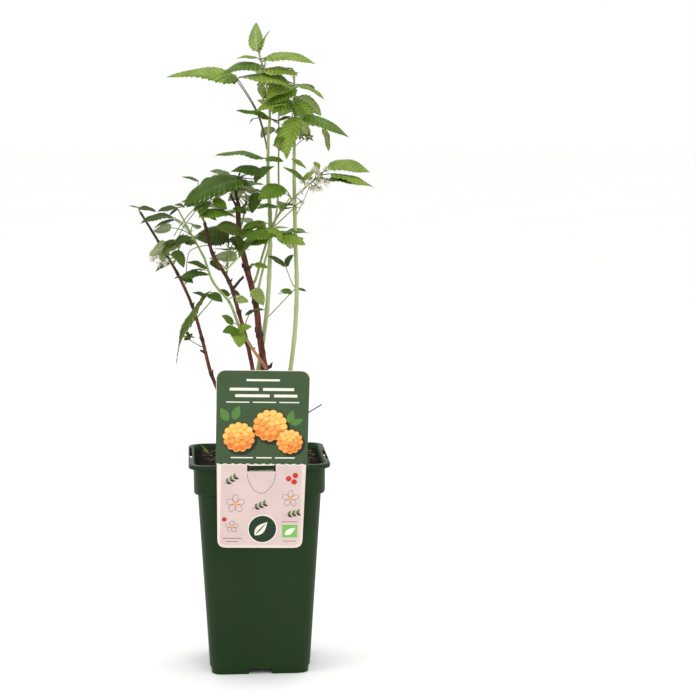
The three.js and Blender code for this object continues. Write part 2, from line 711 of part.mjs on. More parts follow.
// One leaf of a mass: a petiole and its one or three leaflets, as a list of solids.
function leaf(stem, row, random) {
  const [share, heading, rise, petiole, blade, pitch, roll, leaflets, turn = 0, wide = LEAFLET_WIDTH] = row;
  const bends = petiole > 15 ? PETIOLE_BENDS : [0];
  const route = [along(stem, share)];
  for (const bend of bends)
    route.push(climb(route.at(-1), heading, petiole / bends.length, [90 - rise - bend])[1]);
  const frame = leafFrame(heading + turn, pitch, roll);
  const fork = route.at(-1);
  const threefold = leaflets > 1;
  const girth = blade > 25 ? [1.5, 1.1] : [1.2, 1];
  const end = fork.clone().addScaledVector(frame.ahead, threefold ? STALK_SHARE * blade : 0);
  if (threefold) route.push(end);
  const parts = [limb(route, girth, 3, false)];
  const bladeAt = (from, plane, length) => {
    const base = from.clone().addScaledVector(plane.ahead, -SUNK);
    const width = length * wide * (1 + STRAY.width * random());
    const arch = LEAF_ARCH.usual + LEAF_ARCH.perLength * (length - USUAL_LEAFLET);
    return leaflet(base, plane, length, width, arch + LEAF_ARCH.stray * random());
  };
  parts.push(bladeAt(end, frame, blade * (threefold ? 1 - STALK_SHARE : 1)));
  if (threefold)
    for (const hand of [-1, 1]) {
      const plane = turned(frame, hand * (LEAFLET_SPREAD + STRAY.spread * random()));
      parts.push(bladeAt(fork, plane, blade * SIDE_LEAFLET * (1 + STRAY.length * random())));
    }
  return parts;
}

// One flower or young fruit on its stalk.
function bud(stem, row) {
  const [share, heading, rise, stalk, size] = row;
  const root = along(stem, share);
  const head = root.clone().addScaledVector(direction(heading, rise), stalk);
  const ball = new THREE.OctahedronGeometry(size / 2).translate(head.x, head.y, head.z);
  return [limb([root, head], [0.9, 0.8], 3, false), solidOf(ball)];
}

// ---------------------------------------------------------------- the whole plant
const group = new THREE.Group();
const limbs = {};
const placed = [];

function place(name, shape, colour, roughness) {
  placed.push(shape);
  group.add(meshOf(name, shape, colour, roughness));
}

place("pot", makePot(), 0x28402a, 0.42);
place("soil", makeSoil(), 0x2e231b, 1);
place("label", makeLabel(), 0x4f6a4d, 0.45);

for (const [name, cane] of Object.entries(CANES)) {
  const foot = vector(...cane.foot, CROWN_HEIGHT);
  const places = climb(foot, cane.heading, cane.step, cane.leans);
  limbs[name] = { places, girth: cane.girth };
  const stubs = (cane.stubs ?? []).map((stub) => stubOf(limbs[name], stub));
  const whole = wasm.Manifold.union([limb(places, cane.girth, CANE_SIDES, true), ...stubs]);
  place(name, whole.trimByPlane([0, 0, 1], SOIL.top + GAP), cane.colour, 0.7);
}
for (const [name, stem] of Object.entries(SIDE_STEMS)) {
  const { heading, leans, girth } = stem;
  const start = sideStart(limbs[stem.cane], stem.height, heading, leans[0], girth[0]);
  const places = climb(start, heading, stem.step, leans);
  limbs[name] = { places, girth };
  place(name, limb(places, girth, 6, false), stem.colour, 0.7);
}

// The stems of all masses come first, so that no leaf of one mass grows into another's stem.
const stems = {};
for (const [name, mass] of Object.entries(MASSES)) {
  const { heading, leans, girth } = mass;
  const cane = limbs[mass.cane];
  const tip = cane.places.at(-1).clone();
  const rising = tip.clone().sub(cane.places.at(-2)).normalize();
  const start = mass.height
    ? sideStart(cane, mass.height, heading, leans[0], girth[0])
    : tip.addScaledVector(rising, GAP + 0.12 * girth[0]);
  const places = climb(start, heading, mass.step, leans);
  stems[name] = { places, shape: limb(places, girth, girth[0] > 3 ? 6 : 3, false) };
}

// A leaf, leaflet or flower that would touch a part outside its own mass is left out.
Object.entries(MASSES).forEach(([name, mass], index) => {
  const random = scatter(index + 1);
  const { places, shape } = stems[name];
  const others = Object.values(stems).map((stem) => stem.shape).filter((stem) => stem !== shape);
  const isFree = (piece) => [...placed, ...others].every((other) => piece.intersect(other).isEmpty());
  const parts = [shape];
  for (const row of mass.leaves) {
    const [petiole, ...blades] = leaf(places, row, random);
    if (isFree(petiole)) parts.push(petiole, ...blades.filter(isFree));
  }
  for (const row of mass.buds ?? []) parts.push(...bud(places, row).filter(isFree));
  // Crossing leaflets can close off a tiny hollow, which this fills.
  const [outside] = wasm.Manifold.union(parts).decompose().sort((a, b) => b.volume() - a.volume());
  place(name, outside, MASS_COLOUR, 0.6);
});

export default group;
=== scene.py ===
# %% [markdown]
# # A young raspberry in its square nursery pot
# The real thing is three kinds of stuff: moulded plastic, moist compost and a living plant. The CAD
# frame holds the pot, the card, the canes and a plain solid for every mass of leaves. Here each of
# them gets its true surface. The pot and the card keep their solids, with softened edges. The canes
# and leaves are grown again by the rule that made the solids, so every blade lies where its plain
# wedge lay, with teeth, folds and veins added.

# %% The frame and the tools
import math
from collections import namedtuple

import bpy
import numpy as np
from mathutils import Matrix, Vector


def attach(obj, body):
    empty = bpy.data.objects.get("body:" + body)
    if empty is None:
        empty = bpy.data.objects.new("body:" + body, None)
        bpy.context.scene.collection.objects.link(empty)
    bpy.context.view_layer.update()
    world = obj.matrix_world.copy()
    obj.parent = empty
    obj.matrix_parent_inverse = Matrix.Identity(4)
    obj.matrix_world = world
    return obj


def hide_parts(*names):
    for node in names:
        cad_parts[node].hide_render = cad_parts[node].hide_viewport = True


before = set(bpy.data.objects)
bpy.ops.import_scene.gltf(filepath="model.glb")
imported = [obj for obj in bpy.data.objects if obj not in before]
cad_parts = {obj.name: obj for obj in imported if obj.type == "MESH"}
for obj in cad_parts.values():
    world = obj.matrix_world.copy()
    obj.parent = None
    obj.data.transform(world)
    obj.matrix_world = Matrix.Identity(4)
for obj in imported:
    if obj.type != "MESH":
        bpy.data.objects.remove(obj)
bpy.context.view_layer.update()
bpy.ops.object.select_all(action="DESELECT")
MM = 0.001

# %% [markdown]
# ## The camera
# A plant portrait is taken from some way off with a long lens, so that the pot's sides stay nearly
# straight. The camera stands 1.85 m in front, level with the upper leaves, and looks down by under
# seven degrees. Its lens is given as a share of the sensor's width, so that the view stays the same
# for any sensor.

# %% Camera
CAMERA_PLACE = (-0.0613, -1.8544, 0.5160)
CAMERA_DOWN, CAMERA_TURN = 6.64, -4.52
LENS_IN_WIDTHS = 1994 / 696

camera_data = bpy.data.cameras.new("portrait_camera")
camera_data.lens = LENS_IN_WIDTHS * camera_data.sensor_width
camera = bpy.data.objects.new("portrait_camera", camera_data)
camera.location = CAMERA_PLACE
camera.rotation_euler = (math.radians(90 - CAMERA_DOWN), 0, math.radians(CAMERA_TURN))
bpy.context.collection.objects.link(camera)
bpy.context.scene.camera = camera
bpy.context.scene.view_settings.view_transform = "Standard"
print("camera lens", round(camera_data.lens, 1), "mm")

# %% [markdown]
# ## Two effects that all finishes share
# No real surface has one flat colour. Two shader groups take care of that. The first lets two colours
# drift into each other and lays a fine speckle over them. The second gives the height of a fine
# grain. Both read Object coordinates, so a pattern stays put on its piece. Each is built once, and
# every material then places it with its own values.


# %% Helpers for colours and shader trees
def paint(red, green, blue):
    """A colour named in everyday 0 to 255 steps, as the light values that shaders use."""
    steps = [c / 255 for c in (red, green, blue)]
    return [c / 12.92 if c < 0.04045 else ((c + 0.055) / 1.055) ** 2.4 for c in steps] + [1.0]


def shaded(colour, share):
    """A colour brought down to a share of its light."""
    return [c * share for c in colour[:3]] + [1]


def add_node(tree, kind, values=(), **settings):
    """Adds a shader node, and sets its properties and then the values of its sockets."""
    node = tree.nodes.new("ShaderNode" + kind)
    for name, setting in settings.items():
        setattr(node, name, setting)
    for socket, value in dict(values).items():
        node.inputs[socket].default_value = value
    return node


def connect(tree, *wires):
    """Joins sockets: each wire names a node and its output, and a node and the input that it feeds."""
    for source, output, goal, socket in wires:
        tree.links.new(source.outputs[output], goal.inputs[socket])


def shader_group(name, inputs, outputs):
    """An empty shader group with named sockets, and the two nodes that stand for them."""
    tree = bpy.data.node_groups.new(name, "ShaderNodeTree")
    kinds = {"value": "NodeSocketFloat", "colour": "NodeSocketColor", "vector": "NodeSocketVector"}
    for direction, sockets in (("INPUT", inputs), ("OUTPUT", outputs)):
        for label, kind in sockets.items():
            tree.interface.new_socket(name=label, in_out=direction, socket_type=kinds[kind])
    return tree, tree.nodes.new("NodeGroupInput"), tree.nodes.new("NodeGroupOutput")


# %% Mottling
def mottle_group():
    """Two colours that drift into each other, with a fine speckle over them."""
    tree, given, made = shader_group(
        "mottle",
        {"Colour": "colour", "Second": "colour", "Scale": "value", "Stretch": "vector", "Speckle": "value"},
        {"Colour": "colour", "Mask": "value"},
    )
    place = add_node(tree, "TexCoord")
    stretch = add_node(tree, "Mapping")
    drift = add_node(tree, "TexNoise", {"Detail": 3})
    fine = add_node(tree, "TexNoise", {"Detail": 2})
    finer = add_node(tree, "Math", {1: 9}, operation="MULTIPLY")
    spread = add_node(tree, "MapRange", {"From Min": 0.36, "From Max": 0.64})
    blend = add_node(tree, "Mix", data_type="RGBA")
    shade = add_node(tree, "Mix", data_type="RGBA", blend_type="OVERLAY")
    connect(tree, (place, "Object", stretch, "Vector"), (given, "Stretch", stretch, "Scale"),
            (stretch, 0, drift, "Vector"), (stretch, 0, fine, "Vector"),
            (given, "Scale", drift, "Scale"), (given, "Scale", finer, 0), (finer, 0, fine, "Scale"),
            (drift, "Fac", spread, "Value"), (spread, 0, blend, "Factor"),
            (given, "Colour", blend, "A"), (given, "Second", blend, "B"),
            (given, "Speckle", shade, "Factor"), (blend, "Result", shade, "A"), (fine, "Color", shade, "B"),
            (shade, "Result", made, "Colour"), (spread, 0, made, "Mask"))
    return tree


MOTTLE = mottle_group()
print("shader group:", MOTTLE.name)


# %% Grain
def grain_group():
    """The height of a fine grain, for a Bump node to read."""
    tree, given, made = shader_group("grain", {"Scale": "value", "Stretch": "vector"}, {"Height": "value"})
    place = add_node(tree, "TexCoord")
    stretch = add_node(tree, "Mapping")
    noise = add_node(tree, "TexNoise", {"Detail": 4})
    connect(tree, (place, "Object", stretch, "Vector"), (given, "Stretch", stretch, "Scale"),
            (stretch, 0, noise, "Vector"), (given, "Scale", noise, "Scale"), (noise, "Fac", made, "Height"))
    return tree


GRAIN = grain_group()
print("shader group:", GRAIN.name)

# %% [markdown]
# ## How a finish is put together
# Every finish here is one Principled shader. Mottling feeds its colour and its roughness, grain feeds a
# Bump node, and the numbers that don't vary sit on the shader itself. The scales are in repeats for
# each metre, so 400 is a pattern of a few millimetres. A finish may be drawn out along one axis by its
# stretch.

# %% A maker of finishes
GRAIN_DEPTH = 0.0006


def finish(name, colour, second, scale, roughness, grain, grain_scale, stretch=(1, 1, 1), speckle=0.15,
           rough_swing=0.1, **constants):
    """A material with mottled colour and roughness and a fine grain."""
    material = bpy.data.materials.new(name)
    material.use_nodes = True
    tree = material.node_tree
    shader = tree.nodes["Principled BSDF"]
    mottling = {"Colour": colour, "Second": second, "Scale": scale, "Stretch": stretch, "Speckle": speckle}
    mottle = add_node(tree, "Group", mottling, node_tree=MOTTLE)
    smoothest, roughest = roughness - rough_swing / 2, roughness + rough_swing / 2
    swing = add_node(tree, "MapRange", {"To Min": smoothest, "To Max": roughest})
    heights = add_node(tree, "Group", {"Scale": grain_scale, "Stretch": stretch}, node_tree=GRAIN)
    bump = add_node(tree, "Bump", {"Strength": grain, "Distance": GRAIN_DEPTH})
    connect(tree, (mottle, "Colour", shader, "Base Color"), (mottle, "Mask", swing, "Value"),
            (swing, 0, shader, "Roughness"), (heights, "Height", bump, "Height"),
            (bump, "Normal", shader, "Normal"))
    for socket, value in constants.items():
        shader.inputs[socket.replace("_", " ")].default_value = value
    return material


# %% [markdown]
# ## The studio
# The plant stands on a pale floor in a white surround, so that its outline is clear. Big soft lights
# give soft shadows: the one in front puts a sheen on the leaves, the one on the left brings out their
# folds, and the one above lights the compost and the top of the crown.

# %% Floor
STUDIO_FLOOR = finish("studio_floor", paint(255, 255, 254), paint(254, 254, 253), 1.5, 0.9, 0.0, 50,
                      speckle=0.0)
bpy.ops.mesh.primitive_plane_add(size=60, location=(0, 0, 0))
floor = bpy.context.object
floor.name = "studio_floor"
floor.data.materials.append(STUDIO_FLOOR)
print("floor:", floor.name)


# %% Lights
def soft_light(name, place, target, size, power):
    """A square area light that looks at its target."""
    bpy.ops.object.light_add(type="AREA", location=place)
    light = bpy.context.object
    light.name = name
    light.data.size = size
    light.data.energy = power
    light.rotation_euler = (Vector(target) - Vector(place)).to_track_quat("-Z", "Y").to_euler()


soft_light("front_light", (0.35, -2.2, 1.9), (0, 0, 0.3), 1.6, 12)
soft_light("left_light", (-1.7, -0.9, 1.5), (0, 0, 0.35), 1.2, 8)
soft_light("top_light", (0.2, 0.5, 2.3), (0, 0, 0.3), 1.6, 9)
world = bpy.data.worlds.new("white_surround")
world.use_nodes = True
surround = world.node_tree.nodes["Background"]
surround.inputs["Color"].default_value = (1, 1, 1, 1)
surround.inputs["Strength"].default_value = 1.0
bpy.context.scene.world = world
bpy.ops.object.select_all(action="DESELECT")
print("studio: three soft lights and a white surround")

# %% [markdown]
# ## Turning lists of points into pieces
# Leaves and bark are many small faces whose places come from sums, so they are built from arrays and
# not by hand. A bundle collects corners and faces of one kind of stuff, and each face remembers its
# finish. Two numbers travel along with every corner: how far along its leaf or stem it is, and how far
# across. The finishes read them to draw veins, and to let a stem change colour as it gets older.

# %% Where a piece belongs
def settle(piece, nodes=()):
    """Tells the frame where a piece belongs and prints its size."""
    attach(piece, "root")
    if nodes:
        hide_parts(*nodes)
    print(f"{piece.name}: {len(piece.data.polygons)} faces")


# %% A bundle of faces and the piece it becomes
class Bundle:
    """Corners and faces of one kind of stuff, in millimetres."""

    def __init__(self):
        self.corners, self.faces, self.finishes, self.marks = [], [], [], []

    def add(self, corners, faces, finish_index=0, marks=None):
        """Takes in corners and faces, with one finish for them all or one for each face."""
        start = len(self.corners)
        self.corners.extend(corners)
        self.faces.extend(tuple(start + i for i in face) for face in faces)
        if isinstance(finish_index, int):
            finish_index = [finish_index] * len(faces)
        self.finishes.extend(finish_index)
        self.marks.extend([(0.0, 0.0)] * len(corners) if marks is None else marks)

    def mesh(self, name, materials, smooth_below):
        """The bundle as a mesh, smooth across edges that turn by less than an angle."""
        mesh = bpy.data.meshes.new(name)
        mesh.from_pydata([[float(c) * MM for c in corner] for corner in self.corners], [], self.faces)
        for material in materials:
            mesh.materials.append(material)
        mesh.polygons.foreach_set("material_index", self.finishes)
        mesh.polygons.foreach_set("use_smooth", [smooth_below is not None] * len(self.faces))
        for i, mark in enumerate(("along", "across")):
            values = np.array([marks[i] for marks in self.marks], dtype=np.float32)
            mesh.attributes.new(mark, "FLOAT", "POINT").data.foreach_set("value", values)
        if smooth_below is not None and smooth_below < 180:
            mesh.set_sharp_from_angle(angle=math.radians(smooth_below))
        mesh.update()
        return mesh

    def piece(self, name, materials, nodes=(), slot=None, smooth_below=None):
        """The bundle as an object of the scene, and the solids that it replaces."""
        piece = bpy.data.objects.new(name, self.mesh(name, materials, smooth_below))
        bpy.context.collection.objects.link(piece)
        settle(piece, nodes)
        return piece


# %% [markdown]
# ## The pot
# A nursery pot is injection moulded: thin walls, a stepped collar that lets pots stack, a lip with
# four slots for a label or hanger, and feet with channels between them so that water can drain. The
# solid already has all that. What it lacks is the small radius that every moulded edge has and that
# catches the light. Beveling a merged copy of the solid adds it in one step, where rebuilding the
# pot from a cube would only repeat what is there.

# %% Soft edges for a moulded solid
SHARP_FROM = 38


def moulded_copy(node, name, radius, segments, smooth_below):
    """A merged copy of a solid with its sharp edges rounded."""
    piece = bpy.data.objects.new(name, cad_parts[node].data.copy())
    bpy.context.collection.objects.link(piece)
    piece.data.materials.clear()
    bpy.ops.object.select_all(action="DESELECT")
    bpy.context.view_layer.objects.active = piece
    piece.select_set(True)
    bpy.ops.object.mode_set(mode="EDIT")
    bpy.ops.mesh.select_all(action="SELECT")
    bpy.ops.mesh.remove_doubles(threshold=0.00001)
    bpy.ops.mesh.tris_convert_to_quads(face_threshold=0.02, shape_threshold=0.9)
    bpy.ops.object.mode_set(mode="OBJECT")
    bpy.ops.object.modifier_add(type="BEVEL")
    bevel = piece.modifiers[-1]
    bevel.width = radius
    bevel.segments = segments
    bevel.limit_method = "ANGLE"
    bevel.angle_limit = math.radians(SHARP_FROM)
    bevel.use_clamp_overlap = True
    bpy.ops.object.modifier_apply(modifier=bevel.name)
    bpy.ops.object.shade_smooth_by_angle(angle=math.radians(smooth_below))
    settle(piece, [node])
    return piece


# %% The pot
POT_PLASTIC = finish("pot_plastic", paint(20, 43, 12), paint(26, 51, 18), 9, 0.42, 0.12, 900,
                     stretch=(1, 1, 0.35), Specular_IOR_Level=0.16)
pot = moulded_copy("pot", "nursery_pot", 0.0005, 2, 35)
pot.data.materials.append(POT_PLASTIC)

# %% [markdown]
# ## The compost
# The pot is filled to just under its rim with dark peat-like compost that roots and bits of bark run
# through. A flat solid looks like cardboard. A fine grid, cut to the pot's rounded square and pushed
# up and down by uneven sums of waves, gives crumbs and hollows.

# %% A grid as wide as the pot's inside
SOIL_TOP, SOIL_WIDTH, SOIL_CORNER = 195.0, 116.3, 9.9
SOIL_STEPS = 96
bpy.ops.mesh.primitive_grid_add(x_subdivisions=SOIL_STEPS, y_subdivisions=SOIL_STEPS, size=SOIL_WIDTH * MM,
                                location=(0, 0, SOIL_TOP * MM))
compost = bpy.context.object
compost.name = "compost_surface"
bpy.ops.object.transform_apply(location=True, rotation=True, scale=True)
print("grid:", len(compost.data.vertices), "corners")

# %% Rounded corners, hollows and crumbs
WAVES, WAVE_HEIGHT, CRUMB = 26, 55, 0.5
DEEPEST, HIGHEST, EDGE_SINK = -2.2, 2.4, 2.0
chance = np.random.default_rng(41)
waves = [(chance.uniform(60, 900), chance.uniform(0, math.tau), chance.uniform(0, math.tau))
         for _ in range(WAVES)]
straight = SOIL_WIDTH / 2 - SOIL_CORNER


def rounded_in(x, y):
    """Pulls a place near a corner of the square in to the corner's arc."""
    reach = math.hypot(max(abs(x) - straight, 0), max(abs(y) - straight, 0))
    if reach <= SOIL_CORNER:
        return x, y
    pull = SOIL_CORNER / reach
    pulled = [math.copysign(straight + (abs(c) - straight) * pull, c) for c in (x, y)]
    return [new if abs(old) > straight else old for old, new in zip((x, y), pulled)]


def soil_height(x, y):
    """How high the compost lies at a place: hollows, crumbs and a sunken edge."""
    lift = 0.0
    for often, turn, start in waves:
        along_wave = math.cos(turn) * x + math.sin(turn) * y
        lift += math.sin(often * MM * along_wave + start) * WAVE_HEIGHT / often
    edge = max(abs(x), abs(y)) / (SOIL_WIDTH / 2)
    sink = EDGE_SINK * max(edge - 0.85, 0) / 0.15
    return SOIL_TOP + min(max(0.9 * lift, DEEPEST), HIGHEST) + CRUMB * chance.standard_normal() - sink


for vertex in compost.data.vertices:
    x, y = rounded_in(vertex.co.x / MM, vertex.co.y / MM)
    vertex.co = (x * MM, y * MM, soil_height(x, y) * MM)
COMPOST = finish("compost", paint(28, 20, 13), paint(12, 9, 6), 260, 0.92, 1.0, 900, speckle=0.5,
                 Specular_IOR_Level=0.2)
compost.data.materials.append(COMPOST)
bpy.ops.object.shade_smooth()
settle(compost, ["soil"])

# %% [markdown]
# ## Routes and tubes
# Fibres, stalks, prickles and canes are all tubes: a ring of corners is carried along a route, square
# to it and turned as little as can be from one ring to the next. A route is a smooth curve through a
# few places. So one maker of tubes serves them all, from a hair on a stem to a cane.

# %% Directions and smooth curves
def heading_vector(heading, rise):
    """A direction with a heading about Z and a rise above the level, both in degrees."""
    heading, rise = math.radians(heading), math.radians(rise)
    return np.array((math.cos(rise) * math.cos(heading), math.cos(rise) * math.sin(heading), math.sin(rise)))


def unit(way):
    """A direction brought to the length one."""
    return way / np.linalg.norm(way)


def smoothed(places, spacing):
    """A smooth curve through the places, with points about one spacing apart."""
    places = [np.asarray(p, float) for p in places]
    if len(places) < 3:
        count = max(2, int(np.linalg.norm(places[-1] - places[0]) / spacing) + 1)
        return [places[0] + (places[-1] - places[0]) * t for t in np.linspace(0, 1, count)]
    padded = [2 * places[0] - places[1]] + places + [2 * places[-1] - places[-2]]
    curve = [places[0]]
    for a, b, c, d in zip(padded, padded[1:], padded[2:], padded[3:]):
        count = max(1, int(round(np.linalg.norm(c - b) / spacing)))
        for i in range(1, count + 1):
            t = i / count
            curve.append(0.5 * (2 * b + (c - a) * t + (2 * a - 5 * b + 4 * c - d) * t * t
                                + (3 * b - a - 3 * c + d) * t ** 3))
    return curve


# %% Tubes
def rings_along(route, radii, sides, ages, relief):
    """The corners of a tube ring by ring, their marks, and the way the route ends."""
    last = len(route) - 1
    ways = [np.subtract(route[min(i + 1, last)], route[max(i - 1, 0)]) for i in range(len(route))]
    ways = [way / max(np.linalg.norm(way), 1e-9) for way in ways]
    across = np.cross(ways[0], (0.3, 1, 0.1))
    corners, marks = [], []
    for i, (place, way) in enumerate(zip(route, ways)):
        across = unit(across - way * np.dot(across, way))
        up = np.cross(way, across)
        for side in range(sides):
            turn = math.tau * side / sides
            radius = radii[i] * (1 if relief is None else 1 + relief[i][side])
            corners.append(place + radius * (math.cos(turn) * across + math.sin(turn) * up))
            marks.append((0.0 if ages is None else ages[i], side / sides))
    return corners, marks, ways[-1]


def tube(bundle, route, radii, sides, finish_index=0, ages=None, relief=None, pointed=False):
    """A closed tube along a route. Relief is a share of the radius for each ring and side."""
    corners, marks, end_way = rings_along(route, radii, sides, ages, relief)
    kinds = [finish_index] * len(route) if isinstance(finish_index, int) else finish_index
    last = (len(route) - 1) * sides
    faces, finishes = [], []
    for i in range(len(route) - 1):
        for side in range(sides):
            a, b = i * sides + side, i * sides + (side + 1) % sides
            faces.append((a, b, b + sides, a + sides))
            finishes.append(kinds[i])
    end_finish = finishes[-1]
    faces.append(tuple(reversed(range(sides))))
    finishes.append(finishes[0])
    if pointed:
        corners.append(route[-1] + end_way * radii[-1] * 2)
        marks.append(marks[-1])
        faces += [(last + side, last + (side + 1) % sides, len(corners) - 1) for side in range(sides)]
        finishes += [end_finish] * sides
    else:
        faces.append(tuple(range(last, last + sides)))
        finishes.append(end_finish)
    bundle.add(corners, faces, finishes, marks)


print("corners of a smooth curve through three places:", len(smoothed([(0, 0, 0), (9, 0, 3), (18, 0, 0)], 1)))

# %% [markdown]
# ## Litter on the compost
# Dead roots, bark crumbs and pale fibres lie on the compost in every direction. Each is a thin bent
# tube or a skewed chip. Hundreds of them are needed before the surface looks loose, far too many to
# model one by one, so two loops throw them with a fixed seed.

# %% Throwing fibres and chips
LITTER_FINISHES = [
    finish("bark_chip", paint(84, 52, 36), paint(44, 28, 22), 120, 0.8, 0.6, 900),
    finish("root_fibre", paint(104, 84, 62), paint(46, 32, 22), 150, 0.85, 0.5, 1500),
    finish("pale_fibre", paint(150, 138, 118), paint(104, 90, 74), 150, 0.8, 0.4, 1500),
]
FIBRES, CHIPS = 190, 230
LITTER_HALF = SOIL_WIDTH / 2 - 5
BOX_FACES = [(0, 2, 3, 1), (4, 5, 7, 6), (0, 1, 5, 4), (2, 6, 7, 3), (0, 4, 6, 2), (1, 3, 7, 5)]
litter = Bundle()


def thrown(lowest, highest):
    """A chance place over the compost, between two heights above it."""
    x, y = chance.uniform(-LITTER_HALF, LITTER_HALF, 2)
    return np.array((x, y, SOIL_TOP + chance.uniform(lowest, highest)))


def add_fibre():
    """A bent fibre in three stretches, left out if it would reach over the edge."""
    places = [thrown(0.2, 2.2)]
    heading, reach = chance.uniform(0, 360), chance.uniform(3, 11)
    for _ in range(3):
        heading += chance.uniform(-50, 50)
        places.append(places[-1] + reach / 3 * heading_vector(heading, chance.uniform(-14, 10)))
    if max(abs(places[-1][0]), abs(places[-1][1])) > LITTER_HALF + 2:
        return
    route = smoothed(places, 1.2)
    girth = chance.uniform(0.18, 0.55)
    tube(litter, route, np.linspace(girth, 0.5 * girth, len(route)), 5, 1 + int(chance.integers(0, 2)))


def add_chip():
    """A flat box whose corners are each pulled a little out of place."""
    middle = thrown(-0.4, 1.4)
    long, wide, thick = chance.uniform(1.2, 4.2), chance.uniform(0.7, 2.0), chance.uniform(0.3, 0.9)
    ahead = heading_vector(chance.uniform(0, 360), chance.uniform(-35, 35))
    side = unit(np.cross(ahead, heading_vector(chance.uniform(0, 360), 60)))
    up = np.cross(side, ahead)
    corners = [middle + ahead * long * a / 2 * chance.uniform(0.7, 1.1)
               + side * wide * b / 2 + up * thick * c / 2
               for c in (-1, 1) for b in (-1, 1) for a in (-1, 1)]
    litter.add(corners, BOX_FACES, 0 if chance.random() < 0.8 else 1)


for _ in range(FIBRES):
    add_fibre()
for _ in range(CHIPS):
    add_chip()
litter.piece("compost_litter", LITTER_FINISHES, slot="compost")

# %% [markdown]
# ## The plant card
# The card is die-cut from a printed plastic sheet. Its tongue goes back over the rim and down a slot.
# The solid gives the sheet, and a bevel of under a fifth of a millimetre gives its cut edge.

# %% The sheet
CARD_PLASTIC = finish("card_plastic", paint(228, 212, 200), paint(220, 203, 190), 20, 0.4, 0.03, 600,
                      speckle=0.03)
card = moulded_copy("label", "plant_card", 0.00018, 2, 30)
card.data.materials.append(CARD_PLASTIC)

# %% [markdown]
# ## The print
# The print is a set of flat shapes that lie a twenty-fifth of a millimetre above each other, as inks
# do, so that their edges stay sharp at any distance. A picture would need pixels and a map for them.
# It is a plain design of the usual kind: a dark panel with berries over a light panel with drawings.
# Heights on the card count from the pot's rim, and a shape is told its ink and how many inks lie
# under it.

# %% Places on the card
RIM_FRONT, RIM_TOP = 65.9, 200.3
CARD_MIDDLE, CARD_THICKNESS, INK_THICKNESS = 1.2, 0.8, 0.04
CARD_FOOT, CARD_LENGTH, FOOT_HALF, FLARE, CARD_CORNER = -78.1, 167.1, 39, 3.4, 8.0
CARD_TILT, CARD_LEAN = math.radians(1.2), math.radians(6)
WINDOW_HALF, WINDOW_FOOT, WINDOW_TOP = 13.0, -5.5, 0.8


def card_half(h):
    """Half the width of the card at a height along it."""
    return FOOT_HALF + (h - CARD_FOOT) / CARD_LENGTH * FLARE


def on_card(x, h, level):
    """A place on the face of the card: across, up along it, and how many inks above it."""
    across = x * math.cos(CARD_TILT) + h * math.sin(CARD_TILT)
    up = -x * math.sin(CARD_TILT) + h * math.cos(CARD_TILT)
    out = CARD_THICKNESS + INK_THICKNESS * level
    return (CARD_MIDDLE + across, -RIM_FRONT - up * math.sin(CARD_LEAN) - out * math.cos(CARD_LEAN),
            RIM_TOP + up * math.cos(CARD_LEAN) - out * math.sin(CARD_LEAN))


print("card:", CARD_LENGTH, "mm long and", 2 * FOOT_HALF, "to", 2 * (FOOT_HALF + FLARE), "mm wide")

# %% Inks and the simplest shapes
INKS = {
    "panel_green": (58, 80, 50), "panel_pink": (213, 190, 185), "cream": (236, 230, 214),
    "ink": (66, 52, 52), "shade": (30, 40, 22), "gold": (240, 196, 104), "amber": (236, 164, 76),
    "orange": (224, 122, 52), "deep_green": (22, 50, 30), "light_green": (116, 180, 90),
    "red": (196, 52, 40), "leaf": (84, 126, 58),
}
INK_ORDER = list(INKS)
prints = Bundle()


def ink_shape(outline, ink, level):
    """A flat shape within an outline."""
    corners = [on_card(x, h, level) for x, h in outline]
    prints.add(corners, [tuple(range(len(outline)))], INK_ORDER.index(ink))


def turned_on_card(points, x, h, turn):
    """Points turned about the origin by degrees and then moved to a place."""
    c, s = math.cos(math.radians(turn)), math.sin(math.radians(turn))
    return [(x + a * c - b * s, h + a * s + b * c) for a, b in points]


def oval(x, h, across, up, turn=0, steps=20):
    """The outline of an oval."""
    angles = [math.tau * i / steps for i in range(steps)]
    return turned_on_card([(across * math.cos(angle), up * math.sin(angle)) for angle in angles], x, h, turn)


def ink_line(places, width, ink, level):
    """A line of even width through some places."""
    for (x0, h0), (x1, h1) in zip(places, places[1:]):
        long = math.hypot(x1 - x0, h1 - h0)
        ax, ah = -(h1 - h0) / long * width / 2, (x1 - x0) / long * width / 2
        corners = [(x0 + ax, h0 + ah), (x0 - ax, h0 - ah), (x1 - ax, h1 - ah), (x1 + ax, h1 + ah)]
        ink_shape(corners, ink, level)


def ink_leaf(x, h, long, wide, turn, ink, level):
    """A pointed leaf that starts at a place and points along its turn."""
    edge = [(t * long, wide / 2 * math.sin(math.pi * t ** 0.8)) for t in np.linspace(0, 1, 12)]
    outline = [(a, -b) for a, b in edge] + edge[-2:0:-1]
    ink_shape(turned_on_card(outline, x, h, turn), ink, level)


print("inks:", len(INKS))

# %% [markdown]
# ## The two panels
# Two flat colours meet at a torn-paper edge with a cream line along it. Each panel is filled column by
# column between two curves. That is a simple way to follow an uneven edge, to round the corners and to
# leave the window open.


